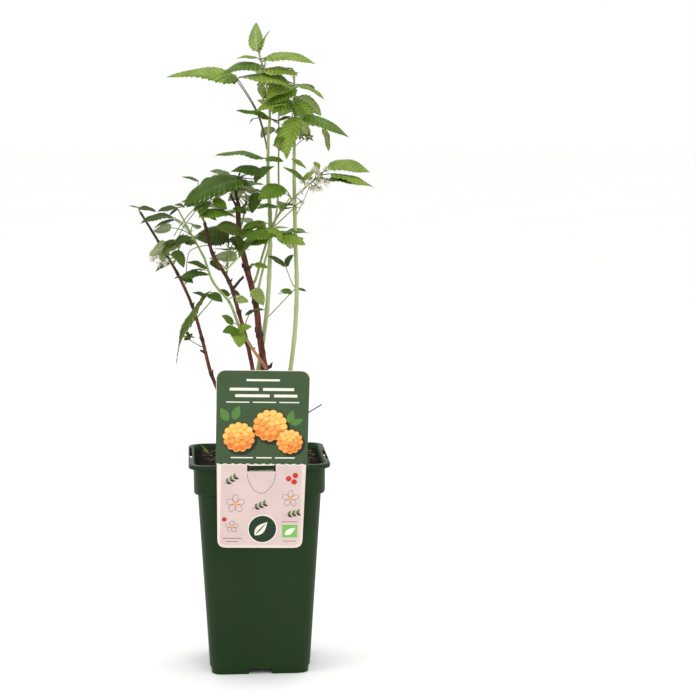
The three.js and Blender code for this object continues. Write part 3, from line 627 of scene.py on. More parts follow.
# %% Filling a panel
def ink_band(foot, top, left, right, ink, level, steps=60):
    """Fills between two curves, except over the window that is cut in the card."""
    def column(x0, x1, low, high):
        if min(high(x0), high(x1)) > max(low(x0), low(x1)) + 0.05:
            ink_shape([(x0, low(x0)), (x1, low(x1)), (x1, high(x1)), (x0, high(x0))], ink, level)

    even = {left + (right - left) * i / steps for i in range(steps + 1)}
    edges = [x for x in sorted(even | {-WINDOW_HALF, WINDOW_HALF}) if left <= x <= right]
    for x0, x1 in zip(edges, edges[1:]):
        if abs(x0 + x1) / 2 < WINDOW_HALF:
            column(x0, x1, foot, lambda x: min(top(x), WINDOW_FOOT - 0.3))
            column(x0, x1, lambda x: max(foot(x), WINDOW_TOP + 0.3), top)
        else:
            column(x0, x1, foot, top)


def torn_edge(x):
    """The uneven line where the two panels meet."""
    return 1.6 + 0.5 * math.sin(0.9 * x) + 0.35 * math.sin(2.3 * x + 1)


def under_torn_edge(x):
    """The foot of the cream line that runs along the torn edge."""
    return torn_edge(x) - 1.0


print("the panels meet", round(torn_edge(0), 1), "mm above the rim in the middle")

# %% The panels
PANEL_TOP, PANEL_FOOT, EDGE = 88.6, -75.6, 0.5


def rounded_end(value):
    """The top or foot of a panel, which keeps inside the card's rounded corners."""
    def limit(x):
        over = max(abs(x) - (card_half(value) - EDGE - CARD_CORNER), 0)
        drop = CARD_CORNER - math.sqrt(max(CARD_CORNER ** 2 - min(over, CARD_CORNER) ** 2, 0))
        return value - math.copysign(drop, value)
    return limit


for foot, top, half, ink in [
    (torn_edge, rounded_end(PANEL_TOP), card_half(80) - EDGE, "panel_green"),
    (under_torn_edge, torn_edge, card_half(0) - EDGE, "cream"),
    (rounded_end(PANEL_FOOT), under_torn_edge, card_half(-76) - 2.4, "panel_pink"),
]:
    ink_band(foot, top, -half, half, ink, 1)
print("shapes so far:", len(prints.faces))

# %% [markdown]
# ## Pictures of the dark panel
# The berries are built up as the real fruit is: round drupelets in rings about a middle. Each is a
# darker oval with a lighter one on it, and the lower ones are laid down first, so that the upper ones
# overlap them. Plain rules stand where a card has its lines of text.


# %% A berry
def ink_berry(x, h, size, turn):
    """A berry of overlapping round drupelets, lighter above."""
    ink_shape(oval(x + 0.06 * size, h - 0.09 * size, 0.53 * size, 0.5 * size), "shade", 2)
    ink_shape(oval(x, h, 0.47 * size, 0.45 * size), "orange", 3)
    spots = []
    for ring, (reach, count) in enumerate([(0.4, 13), (0.25, 8), (0.09, 3)]):
        for i in range(count):
            angle = math.tau * (i + 0.5 * ring) / count + math.radians(turn)
            spots.append((x + reach * size * math.cos(angle), h + reach * size * math.sin(angle) * 0.96))
    spots.sort(key=lambda spot: spot[1])
    for i, (sx, sh) in enumerate(spots):
        rise = (sh - h) / size + 0.12 * math.sin(3 * i + turn)
        tone = "orange" if rise < -0.24 else "amber" if rise < 0.08 else "gold"
        under = "orange" if tone == "amber" else "amber"
        ink_shape(oval(sx, sh, 0.112 * size, 0.106 * size, steps=14), under, 4 + i)
        glint = oval(sx - 0.008 * size, sh + 0.012 * size, 0.092 * size, 0.086 * size, steps=14)
        ink_shape(glint, tone, 4.5 + i)


BERRIES = [(-21, 27, 29, 10), (7, 38, 31, 50), (25, 23, 24, 80)]
for x, h, size, turn in BERRIES:
    ink_berry(x, h, size, turn)
print("berries:", len(BERRIES))

# %% Leaves and rules
BERRY_LEAVES = [(-31, 42, 14, 8, 120), (-26, 43, 14, 8, 70), (24, 40, 13, 7, 75), (26, 39, 12, 6, 25)]
for x, h, long, wide, turn in BERRY_LEAVES:
    ink_leaf(x, h, long, wide, turn, "leaf", 3)
RULES = [
    (80, 1.9, [(-15, 15)]), (71.5, 2.6, [(-30, -4), (0, 28)]), (65.5, 2.6, [(-25, 6), (10, 31)]),
    (59.5, 1.0, [(-33, -12), (-9, 12), (15, 33)]), (7.6, 1.1, [(-28, -8), (-5, 9), (12, 30)]),
]
for h, width, stretches in RULES:
    for x0, x1 in stretches:
        ink_line([(x0, h), (x1, h)], width, "cream", 2)
print("rules:", len(RULES))

# %% [markdown]
# ## Line drawings of the light panel
# Below are thin drawings in dark ink: the curve of a bowl, three small flowers and sprigs, with a few
# red fruits. A round badge and a small sign each carry a leaf.

# %% A bowl, flowers and sprigs
THIN, THINNER = 0.35, 0.3
bowl = [(-13 + 26 * t, -7 - 19 * math.sin(math.pi * t) ** 0.55) for t in np.linspace(0.0, 1, 34)]
ink_line(bowl, THIN, "ink", 2)
for x, h, size in [(-23, -36, 9), (27, -31, 8), (-26, -58, 6)]:
    for petal in range(5):
        angle = math.tau * petal / 5 + 0.3
        px, ph = x + 0.55 * size * math.cos(angle), h + 0.55 * size * math.sin(angle)
        ring = oval(px, ph, 0.42 * size, 0.3 * size, math.degrees(angle), 16)
        ink_line(ring + ring[:1], THINNER, "ink", 2)
    ink_shape(oval(x, h, 0.22 * size, 0.22 * size), "amber", 3)
for x, h, turn in [(-34, -18, 35), (-8, -41, 24), (22, -47, 12)]:
    c, s = math.cos(math.radians(turn)), math.sin(math.radians(turn))
    ink_line([(x, h), (x + 15 * c, h + 15 * s)], THIN, "ink", 2)
    for step in (3, 7, 11):
        for hand in (-42, 42):
            ink_leaf(x + step * c, h + step * s, 5, 2.4, turn + hand, "ink" if hand < 0 else "leaf", 2)
print("shapes so far:", len(prints.faces))

# %% Red fruits, a badge, a sign and fine rules
for x, h, size in [(31, -9, 2.6), (25, -12, 2.6), (30, -15, 2.6), (-33, -51, 2.2)]:
    ink_shape(oval(x, h, size, size), "red", 3)
ink_shape(oval(2, -60, 13.5, 13.5, steps=40), "cream", 2)
ink_shape(oval(2, -60, 12.6, 12.6, steps=40), "deep_green", 3)
ink_leaf(-5, -66, 17, 8, 48, "cream", 4)
ink_leaf(-4.4, -65.2, 15, 1.2, 48, "deep_green", 5)
ink_shape([(20, -68), (34, -68), (34, -56), (20, -56)], "light_green", 2)
ink_leaf(22.5, -65.5, 12, 5, 35, "cream", 3)
for h, x0, x1 in [(-53, 20, 34), (-71.5, 21, 33), (-69, -34, -17), (-72, -31, -20)]:
    ink_line([(x0, h), (x1, h)], 0.5, "ink", 2)
print("shapes in all:", len(prints.faces))

# %% The inks and the printed piece
ink_finishes = []
for name, colour in INKS.items():
    second = paint(*(0.97 * c for c in colour))
    ink_finishes.append(finish("ink_" + name, paint(*colour), second, 60, 0.36, 0.02, 500, speckle=0.02,
                               rough_swing=0.04, Specular_IOR_Level=0.25))
prints.piece("card_print", ink_finishes, slot="label_card")

# %% [markdown]
# ## The canes
# Raspberry canes live two years. Last year's are brown and stiff, with flaking bark, dark knots where
# leaves once grew, and fine prickles. This year's are pale green and smooth. Each cane grows here as
# the solid did: it climbs in steps, and every step leans a little. A row below gives a cane's foot,
# the way it leans, the length of a step, its leans and its width at foot and tip. Stubs are what is
# left of side shoots: height, heading, rise, length and width.

# %% How each cane grows
CANES = {
    "cane_left": {
        "foot": [-3, -8], "heading": 184, "step": 33, "leans": [24, 25, 23, 14, 16, 24, 30, 31],
        "girth": [4.2, 2.2], "stubs": [[297, 190, 30, 6, 2.8]],
    },
    "cane_middle_left": {
        "foot": [12, -8], "heading": 178, "step": 30, "leans": [10, 10, 10, 11, 15, 17, 30, 14],
        "girth": [4.6, 3.2], "stubs": [[355, 0, 50, 17, 3.2]],
    },
    "cane_middle": {
        "foot": [20, 2], "heading": 180, "step": 31.5, "leans": [8, 8, 8, 8, 7, 14, 12, 3],
        "girth": [7.6, 4.8], "stubs": [[428, 150, 62, 17, 2.6], [426, 10, 52, 14, 2.4]],
    },
    "cane_crossing": {
        "foot": [24, -16], "heading": 180, "step": 24, "leans": [2, 6, 10, 20, 33, 30, 22, 38, 20],
        "girth": [3.6, 2.2], "stubs": [],
    },
    "cane_tall": {
        "foot": [-13, 12], "heading": 0, "step": 30, "leans": [9, 9, 9, 9, 8, 4, 2, 0, -3],
        "girth": [5.2, 3.6], "stubs": [],
    },
    "cane_right": {
        "foot": [21, 8], "heading": 0, "step": 30, "leans": [6, 7, 7, 7, 4, 1, -2, -1, -1],
        "girth": [4.8, 3.6], "stubs": [[221, 355, 34, 44, 1.6]],
    },
}
SIDE_STEM = {
    "name": "stem_back", "cane": "cane_middle", "height": 352, "heading": 14, "step": 26,
    "leans": [14, 16, 12, 4], "girth": [2.4, 1.8],
}
CROWN_HEIGHT, CANE_FOOT = 187.3, 195.3
GAP, KNOT_SWELL = 0.3, 1.16
print("canes:", ", ".join(CANES))


# %% Climbing, and finding a place on a cane
def climb(start, heading, step, leans):
    """Places along a cane or stem: it takes one step for each lean."""
    places = [np.asarray(start, float)]
    for lean in leans:
        places.append(places[-1] + step * heading_vector(heading, 90 - lean))
    return places


def cane_at(limb, height):
    """The point of a cane at a height, the way it runs there and how thick it is."""
    places, (foot_girth, tip_girth) = limb["places"], limb["girth"]
    above = next(i for i, point in enumerate(places) if point[2] > height)
    low, high = places[above - 1], places[above]
    share = (height - low[2]) / (high[2] - low[2])
    grown = (above - 1 + share) / (len(places) - 1)
    return low + (high - low) * share, unit(high - low), foot_girth * (1 - grown) + tip_girth * grown


def side_start(stem):
    """Where a side stem starts on the outside of its cane."""
    point, axis, girth = cane_at(limbs[stem["cane"]], stem["height"])
    ahead = heading_vector(stem["heading"], 90 - stem["leans"][0])
    outward = unit(ahead - axis * np.dot(ahead, axis))
    facing = np.dot(ahead, outward)
    half = stem["girth"][0] / 2
    return point + outward * (girth / 2 * KNOT_SWELL + GAP + half * math.sqrt(1 - facing * facing))


def limb_from(start, row):
    """A cane or side stem that climbs from its start."""
    return {"places": climb(start, row["heading"], row["step"], row["leans"]), "girth": row["girth"]}


limbs = {name: limb_from((*cane["foot"], CROWN_HEIGHT), cane) for name, cane in CANES.items()}
limbs[SIDE_STEM["name"]] = limb_from(side_start(SIDE_STEM), SIDE_STEM)
print("canes and side stems:", len(limbs))

# %% [markdown]
# ## Bark
# A cane's colour runs from foot to tip: the young shoot is red-brown below, orange at the middle and
# green above. So the two colours of the mottling come from ramps that read how far along the cane a
# place is. The grain is drawn out along the cane.


# %% Bark finishes
def aged_finish(name, stages, second_shade, **settings):
    """A stem finish whose colour runs through stages from foot to tip."""
    material = finish(name, stages[0][1], stages[0][1], **settings)
    tree = material.node_tree
    mottle = next(n for n in tree.nodes if n.type == "GROUP" and n.node_tree == MOTTLE)
    for socket, share in (("Colour", 1.0), ("Second", second_shade)):
        age = add_node(tree, "Attribute", attribute_name="along")
        ramp = add_node(tree, "ValToRGB")
        while len(ramp.color_ramp.elements) < len(stages):
            ramp.color_ramp.elements.new(0.5)
        for element, (place, colour) in zip(ramp.color_ramp.elements, stages):
            element.position = place
            element.color = shaded(colour, share)
        tree.links.new(age.outputs["Fac"], ramp.inputs["Fac"])
        tree.links.new(ramp.outputs["Color"], mottle.inputs[socket])
    return material


ROUGH = dict(scale=240, roughness=0.6, grain=0.9, grain_scale=500, stretch=(1, 1, 0.22), speckle=0.35)
SMOOTH = dict(scale=120, roughness=0.45, grain=0.25, grain_scale=400, stretch=(1, 1, 0.2), speckle=0.15)
BROWN_STAGES = [(0, paint(112, 52, 36)), (0.6, paint(118, 62, 44)), (1, paint(84, 54, 40))]
YOUNG_STAGES = [(0, paint(110, 56, 40)), (0.3, paint(128, 70, 44)), (0.5, paint(178, 120, 66)),
                (0.72, paint(150, 164, 96)), (1, paint(150, 168, 104))]
GREEN_STAGES = [(0, paint(170, 184, 122)), (0.5, paint(178, 190, 134)), (1, paint(168, 186, 112))]
BROWN_BARK = aged_finish("brown_bark", BROWN_STAGES, 0.3, Specular_IOR_Level=0.25, **ROUGH)
YOUNG_BARK = aged_finish("young_bark", YOUNG_STAGES, 0.75, **SMOOTH)
GREEN_BARK = aged_finish("green_bark", GREEN_STAGES, 0.72, **SMOOTH)
KNOT_BARK = finish("knot_bark", paint(58, 38, 34), paint(30, 22, 22), 400, 0.8, 1.0, 900, speckle=0.4)
DEAD_TWIG = finish("dead_twig", paint(120, 112, 104), paint(80, 72, 68), 300, 0.8, 0.6, 900)
BARKS = {"brown": BROWN_BARK, "young": YOUNG_BARK, "green": GREEN_BARK}
print("barks:", ", ".join(BARKS))

# %% [markdown]
# ## Growing the canes
# A smooth curve runs through the joints of a cane. The bark's ridges and the swelling at each joint
# are part of the mesh, since they show on the outline. The joints are dark on old canes. Then comes
# what sits on a cane: stubs, small buds at the joints, and prickles, which old bark has more of.

# %% Kinds of cane
# Depth is that of the ridges, as a share of the radius, and swell is how much a joint thickens. Buds are
# counted for each joint. A prickle has its own stretch of cane, and a shortest and a longest length.
BARE, KNOT, TWIG = 0, 1, 2
KINDS = {
    "brown": {"depth": 0.07, "swell": 1.3, "buds": 2, "prickle_gap": 3.2, "prickle": (0.5, 1.1)},
    "young": {"depth": 0.03, "swell": 0.9, "buds": 1, "prickle_gap": 7, "prickle": (0.3, 0.6)},
    "green": {"depth": 0.015, "swell": 0.9, "buds": 0, "prickle_gap": 7, "prickle": (0.3, 0.6)},
}
KIND_OF = {
    "cane_left": "brown", "cane_middle_left": "brown", "cane_middle": "brown", "cane_crossing": "young",
}
FINE_RINGS = 0.8
print("kinds of cane:", ", ".join(KINDS))


# %% The bark of a cane
def cane_line(name, limb):
    """The smooth line of a limb, how far along it each point is, and where its joints are."""
    places = limb["places"]
    if name in CANES:
        low, high = places[0], places[1]
        foot = low + (high - low) * (CANE_FOOT - low[2]) / (high[2] - low[2])
        line = smoothed([foot] + places[1:], FINE_RINGS)
    else:
        line = smoothed(places, FINE_RINGS)
    reaches = np.cumsum([0] + [np.linalg.norm(b - a) for a, b in zip(line, line[1:])])
    nearest = [int(np.argmin([np.linalg.norm(p - q) for p in line])) for q in places[1:-1]]
    return line, reaches, [float(reaches[i]) for i in nearest]


def bark_rings(name, limb, reaches, joints, kind, sides):
    """The radius, relief and finish of every ring of a cane."""
    brown, depth = kind is KINDS["brown"], kind["depth"]
    foot_girth, tip_girth = limb["girth"]
    ridges = chance.uniform(-1, 1, (40, 3))
    radii, relief, finishes = [], [], []
    for reach in reaches:
        share = reach / reaches[-1]
        near = min([abs(reach - joint) for joint in joints] + [99])
        swell = (KNOT_SWELL - 1) * math.exp(-(near / 2.4) ** 2) * kind["swell"] if name in CANES else 0
        radii.append((foot_girth * (1 - share) + tip_girth * share) / 2 * (0.97 + swell))
        ring = []
        for side in range(sides):
            turn = math.tau * side / sides
            wave = sum(a * math.sin(k % 5 * turn + b * 3 + reach * (0.05 + 0.5 * abs(c)))
                       for k, (a, b, c) in enumerate(ridges[:12], start=1)) / 5
            ring.append(depth * wave + (depth * 0.6 * chance.standard_normal() if brown else 0))
        relief.append(ring)
        finishes.append(KNOT if brown and near < 1.5 + 0.8 * chance.random() else BARE)
    return radii, relief, finishes


print("a cane's rings stand", FINE_RINGS, "mm apart")


# %% What sits on a cane
def add_stub(bundle, limb, stub, finish_index):
    """The rest of a side shoot that was cut or dried off."""
    height, heading, rise, length, width = stub
    point, _, _ = cane_at(limb, height)
    reach = heading_vector(heading, rise) * length
    bow = np.array((0, 0, 0.02 * length))
    twig = smoothed([point, point + reach * 0.5 + bow, point + reach], FINE_RINGS)
    relief = [[0.12 * chance.standard_normal() for _ in range(8)] for _ in twig]
    tube(bundle, twig, np.linspace(width / 2, 0.35 * width, len(twig)), 8, finish_index, relief=relief)


def add_bud(bundle, place, radius, stout):
    """A small pointed bud that bends upward."""
    way = heading_vector(chance.uniform(0, 360), chance.uniform(10, 55))
    scale = radius * (chance.uniform(0.6, 0.95) if stout else chance.uniform(0.55, 0.85))
    tip = place + way * (radius + scale) + np.array((0, 0, 0.8 * scale))
    bud = [place + way * radius * 0.5, place + way * (radius + 0.6 * scale), tip]
    tube(bundle, bud, [0.6 * scale, 0.5 * scale, 0.18 * scale], 6, KNOT, pointed=True)


def add_prickle(bundle, line, radii, shares, kind):
    """A fine prickle somewhere on the cane, dark on old bark."""
    at = int(chance.integers(4, len(line) - 4))
    way = heading_vector(chance.uniform(0, 360), chance.uniform(-25, 15))
    long = chance.uniform(*kind["prickle"])
    skin = line[at] + way * radii[at] * 0.85
    dark = KNOT if kind is KINDS["brown"] else BARE
    tube(bundle, [skin, skin + way * long], [0.22, 0.04], 4, dark, ages=[shares[at]] * 2)


print("stubs:", sum(len(cane["stubs"]) for cane in CANES.values()))

# %% Growing them all
for index, (name, limb) in enumerate(limbs.items()):
    chance = np.random.default_rng(100 + index)
    look = KIND_OF.get(name, "green")
    kind = KINDS[look]
    line, reaches, joints = cane_line(name, limb)
    shares = reaches / reaches[-1]
    sides = 16 if limb["girth"][0] > 3 else 10
    radii, relief, finishes = bark_rings(name, limb, reaches, joints, kind, sides)
    bundle = Bundle()
    tube(bundle, line, radii, sides, finishes, shares, relief)
    for stub in CANES.get(name, {"stubs": []})["stubs"]:
        add_stub(bundle, limb, stub, KNOT if look == "brown" else TWIG)
    for joint in joints:
        at = int(np.argmin(abs(reaches - joint)))
        for _ in range(kind["buds"]):
            add_bud(bundle, line[at], radii[at], look == "brown" and limb["girth"][0] > 6)
    for _ in range(int(reaches[-1] / kind["prickle_gap"])):
        add_prickle(bundle, line, radii, shares, kind)
    bundle.piece(name + "_bark", [BARKS[look], KNOT_BARK, DEAD_TWIG], [name], look + "_bark", smooth_below=60)

# %% [markdown]
# ## The leaves
# A raspberry leaf is a stalk with one or three leaflets. Each leaflet is oval with a drawn-out point
# and a saw edge. Six to twelve pairs of veins run from the middle to the large teeth, and the blade
# is folded between them like a fan: the veins lie in furrows above and stand out as ribs below. The
# upper side is green and the underside pale and downy.
#
# The leaves are gathered in masses, one for each solid of the frame. A mass has a stem that climbs from
# a cane, one tone or two, and a row for each of its leaves. A row gives the leaf's place along the
# stem, the heading, rise and length of its stalk, the blade's length, pitch and roll, and how many
# leaflets it has. Where they aren't usual, it goes on with the blade's turn away from its stalk and its
# width as a share of its length. Three masses carry flowers too, and a flower's row is its place along
# the stem, the heading, rise and length of its stalk, and its size.

# %% Where the leaves grow
LEAFLET_WIDTH = 0.58
LEAF_NUMBERS = "share heading rise petiole blade pitch roll leaflets turn wide"
Leaf = namedtuple("Leaf", LEAF_NUMBERS, defaults=(0, LEAFLET_WIDTH))
MASSES = {
    "leaves_tall_top": {
        "cane": "cane_tall", "heading": 0, "step": 20,
        "leans": [0, 1, 4, -5, -9, -15], "girth": [3.4, 1.8], "tones": ["bright_lit", "fresh"],
        "leaves": [
            (1, 180, 29, 1, 28, 78, 38, 1, 69), (0.97, 0, 85, 6, 21, 60, -14, 1, 18),
            (0.94, 335, 15, 5, 50, -7, 20, 1, 12, 0.62), (0.93, 207, 31, 5, 21, -3, -16, 1, -9),
            (0.89, 235, 4, 4, 40, -13, -18, 1, -36, 0.7), (0.82, 265, 47, 6, 35, -9, 14, 1, 70, 0.8),
            (0.22, 177, 68, 72, 70, 2, -28, 1, 0, 0.42), (0.22, 188, 66, 75, 59, -10, 10, 1, 146),
            (0.78, 117, -31, 10, 15, -62, -12, 1, -48), (0.17, 180, 5, 5, 47, 3, -12, 1, 13, 0.5),
            (0.16, 256, 14, 6, 19, -9, 24, 1, 75, 0.7), (0.78, 95, 35, 16, 36, -6, 0, 1),
            (0.7, 60, 30, 12, 30, -10, 0, 3), (0.56, 92, 30, 14, 32, -14, 0, 1),
            (0.62, 75, 25, 12, 30, -16, 0, 1),
        ],
    },
    "leaves_right_top": {
        "cane": "cane_right", "heading": 0, "step": 20,
        "leans": [0, 1, 1, 0, -2], "girth": [3.4, 1.8], "tones": ["fresh", "bright_lit"],
        "leaves": [
            (1, 120, 30, 6, 18, -10, 0, 1), (0.86, 0, 35, 3, 31, -28, 8, 1, -14),
            (0.77, 249, -37, 8, 40, -14, -26, 1, -43), (0.77, 272, -38, 10, 35, -18, -4, 1, -46, 0.5),
            (0.77, 32, -7, 4, 31, -36, -34, 1, -12), (0.74, 272, -18, 11, 27, -35, -36, 1, 7, 0.7),
            (0.72, 315, -48, 17, 49, -26, 16, 1, 28), (0.6, 12, -25, 31, 23, -75, 10, 1, 20),
            (0.66, 273, -27, 18, 42, -71, -4, 1, -55, 0.75),
            (0.66, 240, -63, 21, 25, -42, -8, 1, -33, 0.8),
            (0.78, 249, 43, 12, 32, -26, -18, 1, -43, 0.85), (0.22, 180, -61, 3, 17, -35, 14, 1, 162),
            (0.84, 60, 20, 12, 30, -14, 0, 1), (0.7, 70, 25, 14, 34, -16, 0, 1),
            (0.52, 70, 20, 12, 30, -20, 0, 1), (0.35, 105, 25, 12, 32, -22, 0, 1),
        ],
        "buds": [(0.3, 330, 32, 18, 7), (0.36, 320, 30, 9, 6), (0.46, 190, -5, 14, 4)],
    },
    "leaves_back_top": {
        "cane": "stem_back", "heading": 0, "step": 18,
        "leans": [0, 1, 0, 0], "girth": [1.8, 1.2], "tones": ["fresh", "dull"],
        "leaves": [
            (0.75, 208, 25, 12, 33, 11, -26, 1, -16, 0.5), (0.78, 180, 5, 24, 7, -54, -16, 1),
            (0.78, 0, 64, 1, 13, 16, 30, 1, -15), (0.9, 98, 20, 14, 24, -14, 0, 1),
            (0.4, 80, 30, 12, 28, -20, 0, 1),
        ],
    },
    "leaves_middle_crown": {
        "cane": "cane_middle", "heading": 0, "step": 7,
        "leans": [-12, -2, 14, 20], "girth": [3.4, 1.6], "tones": ["deep"],
        "leaves": [
            (0.8, 15, 12, 25, 34, 2, -28, 1, -176, 0.75), (0.8, 8, -4, 15, 25, 30, 38, 1, -31, 0.85),
            (0.75, 338, 0, 5, 66, -22, -22, 1, -136, 0.5), (0.6, 52, 16, 8, 33, -31, 26, 1, 106),
            (0.5, 360, 63, 6, 12, -26, 46, 1, -26), (0.4, 354, -8, 21, 22, -66, -4, 1, -130, 0.8),
            (0.2, 315, -50, 18, 15, 8, -40, 1, -109, 0.7), (0.6, 78, 15, 12, 28, -16, 0, 1),
            (0.4, 80, 10, 10, 24, -20, 0, 3),
        ],
    },
    "leaves_flowering": {
        "cane": "cane_middle", "height": 362, "heading": 346, "step": 30,
        "leans": [17, 21, 41, 50], "girth": [2.4, 1.4], "tones": ["fresh", "bright_lit"],
        "leaves": [
            (1, 0, 49, 10, 41, -7, 20, 1, -9, 0.75), (1, 326, 8, 11, 44, -17, 8, 1, 17, 0.5),
            (0.97, 330, -6, 12, 30, -12, 16, 1, 17), (0.93, 0, 66, 12, 10, 49, -74, 1, -148, 0.85),
            (0.85, 234, 61, 10, 23, 28, -32, 1, -36), (0.85, 245, 48, 10, 15, 35, 46, 1, 94),
            (0.53, 0, 70, 8, 20, 3, 0, 1), (0.62, 195, 15, 8, 22, -4, -14, 1, 3),
            (0.62, 206, 27, 5, 16, 3, 12, 1, 138), (0.7, 218, 52, 16, 29, -23, -26, 1, -20, 0.85),
            (0.45, 201, 25, 12, 24, -23, -8, 1), (0.42, 274, 5, 12, 35, -17, -16, 1, -59, 0.75),
            (0.4, 265, 20, 13, 23, -30, 0, 1, 34, 0.7), (0.42, 285, -15, 6, 27, -28, -8, 1, -78, 0.7),
            (0.38, 312, -10, 11, 28, -14, 30, 1, 35, 0.7), (0.38, 345, 8, 8, 31, 0, 8, 1, 23, 0.5),
            (0.3, 109, 83, 18, 18, -8, -38, 1, 50), (0.1, 214, 52, 6, 14, -16, 32, 1, 127),
            (0.1, 210, 47, 6, 7, -27, -20, 1, 3), (0.3, 200, 34, 21, 13, -23, -60, 1, 3),
        ],
        "buds": [
            (1, 300, 30, 10, 6), (0.98, 20, -20, 9, 6), (0.95, 270, 50, 10, 6), (0.92, 330, -40, 9, 6),
            (0.9, 250, 0, 9, 5), (0.78, 280, 10, 9, 5), (0.75, 250, -30, 9, 5), (0.74, 330, -35, 8, 5),
        ],
    },
    "leaf_pale": {
        "cane": "cane_middle", "height": 352, "heading": 285, "step": 3,
        "leans": [40], "girth": [1.4, 1], "tones": ["pale"],
        "leaves": [(1, 233, 10, 5, 19, -55, 36, 1, 109, 0.85)],
    },
    "leaves_middle_left_low": {
        "cane": "cane_middle_left", "height": 323, "heading": 320, "step": 13,
        "leans": [27], "girth": [1.2, 1], "tones": ["dull", "old"],
        "leaves": [(1, 0, 32, 3, 10, -33, -18, 1, -157, 0.7), (1, 0, 34, 4, 12, -1, 18, 1, -17)],
    },
    "leaves_middle_left": {
        "cane": "cane_middle_left", "height": 370, "heading": 80, "step": 12,
        "leans": [35], "girth": [2.2, 1.6], "tones": ["dull", "old"],
        "leaves": [
            (1, 321, 63, 35, 29, 4, -40, 1, -110, 0.7), (1, 81, 72, 26, 34, -3, -48, 1, 95, 0.68),
            (1, 41, 82, 21, 22, -14, -20, 1, 156), (1, 325, 81, 23, 15, -24, 32, 1, -6),
            (0.3, 34, 43, 15, 28, 1, 46, 1, 164), (0.3, 150, 28, 18, 14, -49, 36, 1, -179, 0.75),
            (1, 75, 50, 14, 24, 0, 0, 3),
        ],
    },
    "leaves_middle_left_top": {
        "cane": "cane_middle_left", "heading": 180, "step": 12,
        "leans": [30, 35], "girth": [2.4, 1.4], "tones": ["deep", "fresh"],
        "leaves": [
            (0.1, 314, 64, 19, 20, -53, -2, 1, -102), (0.3, 290, 29, 7, 25, -7, 36, 1, 44),
            (0.3, 329, 43, 22, 17, -35, 18, 1, -7, 0.7), (0.2, 330, 34, 10, 27, -12, 14, 1, 16),
            (0.6, 312, 32, 13, 16, -39, -10, 1, -100), (0.5, 85, 78, 28, 17, 14, -20, 1, 110),
            (0.5, 58, 75, 27, 16, 16, 28, 1, -74), (0.6, 90, 20, 12, 24, -10, 0, 1),
        ],
    },
    "leaves_crossing_top": {
        "cane": "cane_crossing", "heading": 180, "step": 26,
        "leans": [28, 28], "girth": [2.2, 1.3], "tones": ["dull", "old"],
        "leaves": [
            (1, 334, 9, 7, 11, 9, -36, 1, -124), (1, 260, 3, 4, 20, -11, -20, 1, -54),
            (1, 263, -16, 4, 11, -35, 4, 1, -46), (0.55, 218, 33, 24, 34, -10, -18, 1, -11, 0.5),
            (0.55, 218, 32, 19, 24, -19, -6, 1, -15), (0.45, 192, 20, 21, 21, -9, 58, 1, 20, 0.62),
        ],
    },
    "leaves_left_tip": {
        "cane": "cane_left", "heading": 180, "step": 4,
        "leans": [20], "girth": [1.8, 1.2], "tones": ["old", "dull"],
        "leaves": [
            (1, 194, 10, 1, 10, 10, -14, 1), (1, 0, -20, 1, 18, -12, 20, 1, -21, 0.5),
            (0.8, 0, -26, 2, 12, 10, -32, 1, 72),
        ],
    },
    "leaves_left_rosette": {
        "cane": "cane_left", "height": 380, "heading": 315, "step": 15,
        "leans": [25, 22], "girth": [1.6, 1.1], "tones": ["old", "dull"],
        "leaves": [
            (0.55, 191, 10, 11, 22, -22, 72, 1, 22, 0.7), (0.55, 146, -10, 16, 15, -60, 8, 1, -31, 0.7),
            (0.75, 216, 4, 7, 14, -16, -24, 1, -6), (0.8, 215, -15, 7, 19, 15, 48, 1, 117, 0.65),
            (0.7, 153, -8, 5, 13, -42, 40, 1, -15, 0.7), (0.8, 319, -17, 6, 12, -6, 40, 1, 14),
            (0.35, 251, 20, 7, 20, -52, 18, 1, 64, 0.7), (0.1, 202, -21, 6, 17, -27, -8, 1, 4),
        ],
        "buds": [(0.3, 205, -8, 24, 6), (0.25, 212, 0, 18, 6)],
    },
    "leaves_left_middle": {
        "cane": "cane_left", "height": 361, "heading": 325, "step": 3,
        "leans": [50], "girth": [1.4, 1.1], "tones": ["deep", "old"],
        "leaves": [
            (1, 205, 46, 7, 28, 5, 28, 1, 138, 0.5), (1, 224, 39, 7, 16, -17, 18, 1, 90, 0.7),
            (1, 24, 63, 11, 18, -1, 8, 1, -10), (1, 339, 34, 24, 21, 18, -24, 1, -140),
            (1, 206, 49, 7, 9, -12, -16, 1, -3),
        ],
    },
    "leaf_drooping": {
        "cane": "cane_left", "height": 331, "heading": 322, "step": 27,
        "leans": [46], "girth": [1.2, 1], "tones": ["deep", "dull"],
        "leaves": [
            (1, 180, 55, 7, 77, -65, -18, 1, 11, 0.15), (1, 180, 9, 8, 15, 16, -32, 1, 23),
            (1, 180, 33, 5, 16, -26, 28, 1, 153, 0.75),
        ],
    },
    "leaves_left_low": {
        "cane": "cane_left", "height": 304, "heading": 180, "step": 19,
        "leans": [60], "girth": [1.1, 0.9], "tones": ["deep", "old"],
        "leaves": [
            (1, 348, 12, 6, 7, 28, -62, 1, -129, 0.75), (1, 6, 0, 6, 6, 36, 66, 1, -54, 0.75),
            (1, 0, -16, 6, 8, -12, -18, 1, -144, 0.7), (1, 14, -6, 7, 6, -13, 24, 1, 10),
        ],
    },
    "leaves_crossing_low": {
        "cane": "cane_crossing", "height": 322, "heading": 270, "step": 3,
        "leans": [70], "girth": [1.3, 1], "tones": ["fresh", "bright_lit"],
        "leaves": [
            (1, 180, -46, 4, 16, -9, -32, 1, 25, 0.85), (1, 180, -67, 4, 15, 14, 48, 1, 154, 0.8),
            (1, 180, -70, 6, 17, -58, -22, 1, 95, 1.0), (1, 147, 21, 8, 15, 30, -50, 1, 59, 0.75),
        ],
    },
    "leaf_crossing_small": {
